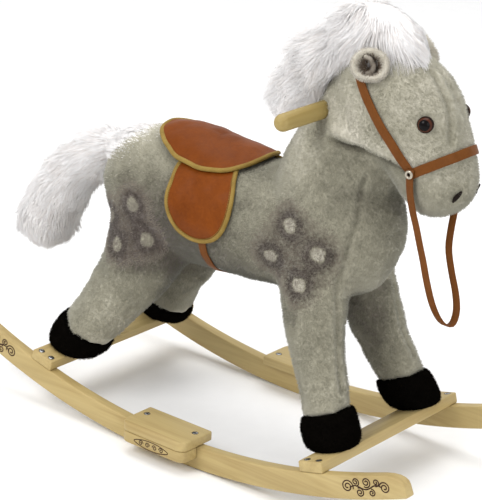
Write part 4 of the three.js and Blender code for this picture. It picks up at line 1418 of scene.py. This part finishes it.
def add_head_strap(name, toward, tab, lift, node):
    """A strap round the head, lying on the skin or on the strap under it."""
    path, normals, run = head_path(toward, tab)
    flat = np.cross(run, (0, 1, 0))
    normals = unit(normals - (normals @ flat)[:, None] * flat * 0.5)
    line = path + normals * (STRAP["lift"] + lift)
    return add_piece(name, ribbon(line, normals, STRAP["width"], STRAP["thickness"]), [STRAP_LEATHER],
                     "tan_leather", node)


def add_rivet(side, word):
    """An eyelet ring through the straps where they cross, its middle filled dark as painted shade in the
    hole.
    """
    spot, _ = nearest_on_skin((RIVET["x"], side * 56, RIVET["z"]))
    base = np.array((RIVET["x"], spot[1], RIVET["z"]))
    reach = side * (abs(RIVET["y"]) + 0.6) - base[1]
    ring = [(3.9 + 1.7 * math.cos(a), abs(reach) + 0.7 + 1.3 * math.sin(a))
            for a in np.linspace(0, 2 * math.pi, 13)[:-1]]
    shank = [(0.1, 0), (2.2, 0), (2.2, abs(reach) - 0.4), (0.1, abs(reach) - 0.2)]
    shapes = [lathe(ring, 32, base, (0, side, 0), closed=True), lathe(shank, 20, base, (0, side, 0))]
    made = add_piece(f"bridle_eyelet_{word}", joined(shapes), [NICKEL, HOLE_SHADE], "nickel",
                     f"bridle_rivet_{word}")
    two_tone(made, len(shapes[0][1]))
    return made


NOSEBAND = add_head_strap("bridle_noseband", toward=(323, 462), tab=9, lift=1.6, node="noseband")
HEADPIECE = add_head_strap("bridle_crown_strap", toward=(201, 530), tab=4, lift=0, node="bridle_headpiece")
RIVETS = [add_rivet(side, word) for side, word in SIDES]


# ---------------------------------------------------------------- pile and hair
def scatter(obj, spacing):
    """Random places over a surface, about one for each square of the spacing, with normals."""
    mesh = obj.data
    mesh.calc_loop_triangles()
    corners = np.empty(len(mesh.loop_triangles) * 3, int)
    mesh.loop_triangles.foreach_get("vertices", corners)
    corners = corners.reshape(-1, 3)
    points = coordinates(obj)
    normals = vertex_normals(obj)
    a, b, c = (points[corners[:, k]] for k in range(3))
    area = np.linalg.norm(np.cross(b - a, c - a), axis=1) / 2
    count = int(area.sum() / spacing**2)
    chosen = random.choice(len(corners), count, p=area / area.sum())
    u, v = random.random((2, count))
    over = u + v > 1
    u[over], v[over] = 1 - u[over], 1 - v[over]
    weights = np.stack([1 - u - v, u, v], axis=1)[:, :, None]
    return (points[corners[chosen]] * weights).sum(1), unit((normals[corners[chosen]] * weights).sum(1))


def clear_of(roots, normals, covers, reach, margin):
    """Which roots have none of the covering pieces over them or close beside them."""
    free = np.ones(len(roots), bool)
    near = np.zeros(len(roots), bool)
    for low, high in covers["boxes"]:
        near |= ((roots > low - reach) & (roots < high + reach)).all(axis=1)
    for i in np.nonzero(near)[0]:
        root, normal = Vector(roots[i]), Vector(normals[i])
        if covers["tree"].ray_cast(root + normal * 0.2, normal, reach)[0] is not None:
            free[i] = False
        elif covers["tree"].find_nearest(root + normal * 2.0, margin)[0] is not None:
            free[i] = False
    return free


def covers_of(objects):
    """The pieces that lie on the coat: one search tree, and a box round each."""
    boxes = [(coordinates(obj).min(0), coordinates(obj).max(0)) for obj in objects]
    return {"tree": tree_of(*objects), "boxes": boxes}


def add_triangles(name, points, triangles, normals, slots, materials, body):
    """A mesh of many small triangles with its own shading normals."""
    mesh = bpy.data.meshes.new(name)
    mesh.vertices.add(len(points))
    mesh.vertices.foreach_set("co", to_frame(points).ravel())
    mesh.loops.add(len(triangles) * 3)
    mesh.loops.foreach_set("vertex_index", triangles.ravel())
    mesh.polygons.add(len(triangles))
    mesh.polygons.foreach_set("loop_start", np.arange(len(triangles)) * 3)
    mesh.polygons.foreach_set("material_index", slots.astype(np.int32))
    mesh.polygons.foreach_set("use_smooth", np.ones(len(triangles), bool))
    mesh.update(calc_edges=True)
    for material in materials:
        mesh.materials.append(material)
    mesh.normals_split_custom_set_from_vertices(unit(normals).tolist())
    made = bpy.data.objects.new(name, mesh)
    bpy.context.scene.collection.objects.link(made)
    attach(made, body)
    return made


def add_strands(name, paths, radii, normals, slots, materials, body):
    """Three-sided tapering fibres: paths is (fibres, points, 3), and the last point is the tip."""
    count, steps, _ = paths.shape
    run = unit(np.gradient(paths, axis=1))
    aside = random.normal(size=(count, 1, 3))
    u = unit(np.cross(run, np.broadcast_to(aside, run.shape)))
    v = np.cross(run, u)
    rings = []
    shading = []
    for j in range(3):
        a = 2 * math.pi * j / 3
        radial = math.cos(a) * u + math.sin(a) * v
        rings.append(paths[:, :-1] + radial[:, :-1] * radii[:, :-1, None])
        shading.append(unit(normals[:, :-1] * 0.9 + radial[:, :-1] * 0.14))
    body_points = np.stack(rings, axis=2).reshape(count, -1, 3)
    points = np.concatenate([body_points, paths[:, -1:]], axis=1)
    body_normals = np.stack(shading, axis=2).reshape(count, -1, 3)
    point_normals = np.concatenate([body_normals, unit(normals[:, -1:])], axis=1)
    triangles = []
    for i in range(steps - 2):
        for j in range(3):
            k = (j + 1) % 3
            a, b, c, d = i * 3 + j, i * 3 + k, (i + 1) * 3 + k, (i + 1) * 3 + j
            triangles += [(a, b, c), (a, c, d)]
    last = (steps - 2) * 3
    triangles += [(last + j, last + (j + 1) % 3, last + 3) for j in range(3)]
    triangles = np.array(triangles)
    per_fibre = points.shape[1]
    all_triangles = (triangles[None] + np.arange(count)[:, None, None] * per_fibre).reshape(-1, 3)
    return add_triangles(name, points.reshape(-1, 3), all_triangles, point_normals.reshape(-1, 3),
                         np.repeat(slots, len(triangles)), materials, body)


def pile_paths(roots, normals, nap, length, lean, spread):
    """Short fibres of two points each, leaning with the nap."""
    along = nap - (nap * normals).sum(1, keepdims=True) * normals
    loose = random.normal(size=roots.shape) * spread
    way = unit(normals + along * lean + loose)
    long = length * random.uniform(0.7, 1.2, size=(len(roots), 1))
    return np.stack([roots - normals * 0.7, roots + way * long], axis=1)


def nap_of(points):
    """Which way the grey coat lies: backwards and down, with swirls."""
    way = np.tile((-0.5, 0.0, -0.85), (len(points), 1))
    for axis in range(3):
        way[:, axis] += 0.7 * noise_at(points, 38, 20 + axis)
    return unit(way)


def coat_slots(points):
    """Which tone each fibre of the grey coat has."""
    value, halo, spot = coat_tone_with_shade(points)
    level = value + random.normal(scale=0.045, size=len(points))
    slots = np.clip((level * len(COAT)).astype(int), 0, len(COAT) - 1)
    dark = halo + random.normal(scale=0.05, size=len(points))
    for step, least in enumerate((0.22, 0.5, 0.78)):
        slots[dark > least] = len(COAT) + step
    pale = spot + random.normal(scale=0.12, size=len(points))
    slots[pale > 0.35] = len(COAT) + len(HALO)
    slots[(pale > 0.85) & (points[:, 0] > 0)] = len(COAT) + len(HALO) + 1
    root = np.exp(-(np.linalg.norm(points - TAIL_ROOT, axis=1) / 46) ** 2)
    slots[random.random(len(points)) < 1.3 * root] = len(COAT) - 1
    return slots


def region_of(points):
    """Splits the coat in pieces that each stay a manageable size."""
    x, y, z = points.T
    head = (x - 160) * 0.75 + (z - 440) * 0.66 > 32
    leg = z < 235 - 0.12 * np.abs(x)
    part = np.select([head & (z > 350), leg & (x > 0), leg, x < -60, z > 385],
                     ["head", "front_leg", "rear_leg", "rump", "neck"], "chest")
    return np.char.add(np.char.add(part, "_"), np.where(y < 0, "right", "left"))


def add_coat():
    """The short grey pile all over the body, left out under straps, saddle and hair."""
    spacing = 1.55
    roots, normals = scatter(SKIN, spacing)
    free = clear_of(roots, normals, covers_of(COVERS), reach=6.0, margin=1.0)
    free &= roots[:, 2] > 98
    roots, normals = roots[free], normals[free]
    away = np.stack([distance_to_line(roots, line) for line in SEAM_LINES]).min(0)
    length = 3.6 - 1.8 * np.exp(-(away / 3.5) ** 2)
    under_tail = np.exp(-(np.linalg.norm(roots - TAIL_ROOT, axis=1) / 60) ** 4)
    length = length * (1 - 0.6 * under_tail)
    paths = pile_paths(roots, normals, nap_of(roots), length[:, None], lean=0.45, spread=0.3)
    slots = coat_slots(roots)
    radii = np.full((len(roots), 2), 0.5)
    shading = np.repeat(normals[:, None], 2, axis=1)
    regions = region_of(roots)
    for region in sorted(set(regions)):
        pick = regions == region
        made = add_strands(f"coat_pile_{region}", paths[pick], radii[pick], shading[pick], slots[pick],
                           COAT_FIBRES, "horse")


def add_short_pile(name, obj, spacing, length, materials, slots_of, keep=None):
    """Short pile on a hoof or an ear, which is combed down."""
    roots, normals = scatter(obj, spacing * (1))
    if keep is not None:
        free = keep(roots)
        roots, normals = roots[free], normals[free]
    nap = np.tile((0.1, 0.0, -1.0), (len(roots), 1))
    paths = pile_paths(roots, normals, nap, length, lean=0.45, spread=0.4)
    radii = np.full((len(roots), 2), 0.42)
    made = add_strands(name, paths, radii, np.repeat(normals[:, None], 2, axis=1), slots_of(roots),
                       materials, "horse")


def flowing_paths(roots, normals, axis_way, length, steps, droop, frizz, lift):
    """Long fibres that start out from the skin, then fall and run with the hair."""
    count = len(roots)
    way = unit(normals * lift + axis_way * 0.9 + random.normal(size=roots.shape) * 0.22)
    place = roots - normals * 1.5
    paths = [place]
    stride = length / (steps - 1)
    for k in range(1, steps):
        curl = np.stack([noise_at(place, 26, 40 + a) for a in range(3)], axis=1) * frizz
        pull = droop * k / steps * np.array((0, 0, -1.0))
        way = unit(way + pull + curl + axis_way * 0.16)
        place = place + way * stride[:, None]
        paths.append(place)
    return np.stack(paths, axis=1).reshape(count, steps, 3)


def clumped(paths, per_clump, strength):
    """Draws fibres together towards their clump's own leader, most at the tips."""
    count, steps, _ = paths.shape
    leaders = random.choice(count, max(count // per_clump, 1), replace=False)
    tree = BVHTree.FromPolygons(
        [tuple(p + d) for p in paths[leaders, 0] for d in np.eye(3) * 0.01],
        [(3 * i, 3 * i + 1, 3 * i + 2) for i in range(len(leaders))])
    own = np.array([tree.find_nearest(Vector(p))[2] for p in paths[:, 0]])
    pull = (np.linspace(0, 1, steps) ** 1.3 * strength)[None, :, None]
    shift = paths[leaders[own]] - paths[leaders[own], :1] + paths[:, :1]
    target = shift * 0.35 + paths[leaders[own]] * 0.65
    return paths * (1 - pull) + target * pull


def section_run(points, sections):
    """The direction in which a loft runs, near each point."""
    rings = smooth_sections(sections, 6)
    middles = rings[:, :3]
    nearest = np.array([np.argmin(((middles - p) ** 2).sum(1)) for p in points])
    return unit(np.gradient(middles, axis=0))[nearest], middles[nearest]


def add_hair(name, core, run_of, spacing, length, steps, droop, frizz, lift, clump, body, radius, keep=None):
    """Long white hair all over a core, in pieces of a manageable size."""
    spacing = spacing * 1
    roots, normals = scatter(core, spacing)
    if keep is not None:
        free = keep(roots)
        roots, normals = roots[free], normals[free]
    long = length(roots) * random.uniform(0.72, 1.18, len(roots))
    paths = flowing_paths(roots, normals, run_of(roots), long, steps, droop, frizz, lift)
    paths = clumped(paths, clump, strength=0.22)
    thick = radius * 1
    radii = np.tile(np.linspace(1, 0.35, steps) * thick, (len(roots), 1))
    outward = unit(paths - section_run(roots, MANE if body == "horse" else TAIL)[1][:, None])
    shading = unit(outward * 0.6 + normals[:, None] * 0.6)
    level = 0.62 + 0.16 * noise_at(roots, 14, 31) + random.normal(scale=0.16, size=len(roots))
    slots = np.clip((level * len(WHITE_FIBRES)).astype(int), 0, len(WHITE_FIBRES) - 1)
    per = MOST_TRIANGLES // ((steps - 2) * 6 + 3)
    order = np.argsort(roots[:, 0])
    for index, start in enumerate(range(0, len(order), per), 1):
        pick = order[start:start + per]
        made = add_strands(f"{name}_{index}", paths[pick], radii[pick], shading[pick], slots[pick],
                           WHITE_FIBRES, body)


def add_rump_tuft():
    """White hair that spreads from the tail's root over the top of the rump, thinner further out."""
    roots, normals = scatter(SKIN, 1.5)
    away = np.linalg.norm(roots - TAIL_ROOT, axis=1)
    free = random.random(len(roots)) < 2.2 * np.exp(-(away / 40) ** 2)
    free &= roots[:, 2] > 338
    roots, normals, away = roots[free], normals[free], away[free]
    long = 21 * np.exp(-(away / 60) ** 2) * random.uniform(0.7, 1.2, len(roots))
    side = np.clip(roots[:, 1] / 40, -0.6, 0.6)
    way = unit(np.stack([np.full(len(roots), -0.9), side, np.full(len(roots), 0.05)], axis=1))
    paths = flowing_paths(roots, normals, way, long, steps=4, droop=0.3, frizz=0.25, lift=0.45)
    paths = clumped(paths, per_clump=6, strength=0.25)
    radii = np.tile(np.linspace(1, 0.35, 4) * (0.4), (len(roots), 1))
    shading = np.repeat(normals[:, None], 4, axis=1)
    slots = random.integers(1, len(WHITE_FIBRES), len(roots))
    made = add_strands("rump_tuft", paths, radii, shading, slots, WHITE_FIBRES, "horse")


def mane_roots(points):
    """Where the mane's hair grows: outside the skin and clear of the ears."""
    free = outside_skin(points) & (points[:, 2] > 432)
    for side in (-1, 1):
        free &= np.linalg.norm(points - ear_rim(side)[0], axis=1) > 32
    return free


def mane_length(points):
    """Long on the crest, short at both ends."""
    ends = np.clip((points[:, 2] - 415) / 70, 0.3, 1) * np.clip((276 - points[:, 0]) / 60, 0.4, 1)
    forelock = np.where(points[:, 0] > 205, np.where(points[:, 1] < -6, 1.35, 0.5), 1)
    return (31 + 6 * noise_at(points, 30, 34)) * ends * forelock


def tail_length(points):
    """Long in the middle, shorter where the tail starts and at its end."""
    return (23 + 5 * noise_at(points, 30, 33)) * np.clip((points[:, 2] - 120) / 80, 0.6, 1)


def outside_skin(points):
    """Which points lie outside the skin."""
    out = np.empty(len(points), bool)
    for i, point in enumerate(points):
        place, normal, _, _ = SKIN_TREE.find_nearest(Vector(point))
        out[i] = (Vector(point) - place) @ normal > 0.5
    return out


def add_core(name, sections, scale, node, body):
    """The white cloth that long hair grows from."""
    made = add_object(name, *loft(sections, scale=scale), [WHITE_BACKING], body)
    remesh(made, voxel=4.0, smoothing=4)
    points = coordinates(made)
    points += vertex_normals(made) * (1.8 * noise_at(points, 22, 12))[:, None]
    set_coordinates(made, points)
    set_tone(made, 0.55 + 0.3 * noise_at(points, 18, 13))
    take_over(made, "white_pile", node)
    return made


TAIL_CORE = add_core("tail_core", TAIL_FORM, scale=0.84, node="tail", body="tail")
MANE_CORE = add_core("mane_core", MANE_FORM, scale=0.70, node="mane", body="horse")
COVERS = [*SADDLE, GIRTH, NOSEBAND, HEADPIECE, *RIVETS, *EYES, *NOSTRILS, HAND_GRIP, *HOOVES, MANE_CORE]
COVERS += [piece for ear in EARS for piece in ear]
add_coat()
for (end, name), pair in zip(ENDS, (HOOVES[:2], HOOVES[2:])):
    middle, axes = crossbar_frame(end)
    for hoof, (_, word) in zip(pair, SIDES):
        add_short_pile(f"hoof_pile_{name}_{word}", hoof, spacing=1.35, length=2.6, materials=BLACK_FIBRES,
                       slots_of=lambda roots: random.integers(0, len(BLACK), len(roots)),
                       keep=lambda roots: (roots - np.array(middle)) @ np.array(axes)[:, 2] > 9.5)


def ear_slots(roots):
    """Dark fibres down in the cup, pale ones on the rim and outside."""
    made = np.empty(len(roots), int)
    for side in (-1, 1):
        here = roots[:, 1] * side > 0
        height, reach = place_in_ear(roots[here], side)
        inside = (reach + random.normal(scale=1.0, size=len(reach)) < 14.5) & (height > -20)
        made[here] = np.where(inside, 0, 2) + random.integers(0, 2, len(reach))
    return made


for (ear, roll), (_, word) in zip(EARS, SIDES):
    add_short_pile(f"ear_pile_{word}", ear, spacing=1.2, length=3.4, materials=EAR_FIBRES,
                   slots_of=ear_slots)
    add_short_pile(f"ear_fold_pile_{word}", roll, spacing=1.2, length=1.6, materials=EAR_FIBRES,
                   slots_of=lambda roots: random.integers(0, 2, len(roots)))


def tail_run(roots):
    """The tail's hair runs along the tail."""
    return section_run(roots, TAIL)[0]


def mane_run(roots):
    """Hair falls to both sides and back at the neck, and forward over the forehead."""
    sideways = np.sign(roots[:, 1:2]) * np.clip(np.abs(roots[:, 1:2]) / 20, 0.1, 1)
    front = np.clip((roots[:, :1] - 170) / 50, 0, 1)
    back = np.clip((130 - roots[:, :1]) / 60, 0, 1)
    way = np.hstack([front - back * 0.55 - 0.15, sideways * (0.75 - 0.4 * front), -0.35 - 0.35 * front])
    return unit(way) * (1 + 1.1 * front)


add_hair("tail_hair", TAIL_CORE, tail_run, spacing=1.45, length=tail_length, steps=5, droop=0.16, frizz=0.2,
         lift=0.7, clump=7, body="tail", radius=0.4)
add_hair("mane_hair", MANE_CORE, mane_run, spacing=1.4, length=mane_length, steps=5, droop=0.34, frizz=0.3,
         lift=0.8, clump=6, body="horse", radius=0.36, keep=mane_roots)
add_rump_tuft()


# ---------------------------------------------------------------- frame nodes that stay, and the end
leg_posts = [f"leg_post_{name}_{word}" for _, name in ENDS for _, word in SIDES]
for node, along in (("spine_board", "x"), ("neck_post", "z"), *[(post, "z") for post in leg_posts]):
    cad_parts[node].data.materials.clear()
    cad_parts[node].data.materials.append(PINE[along])
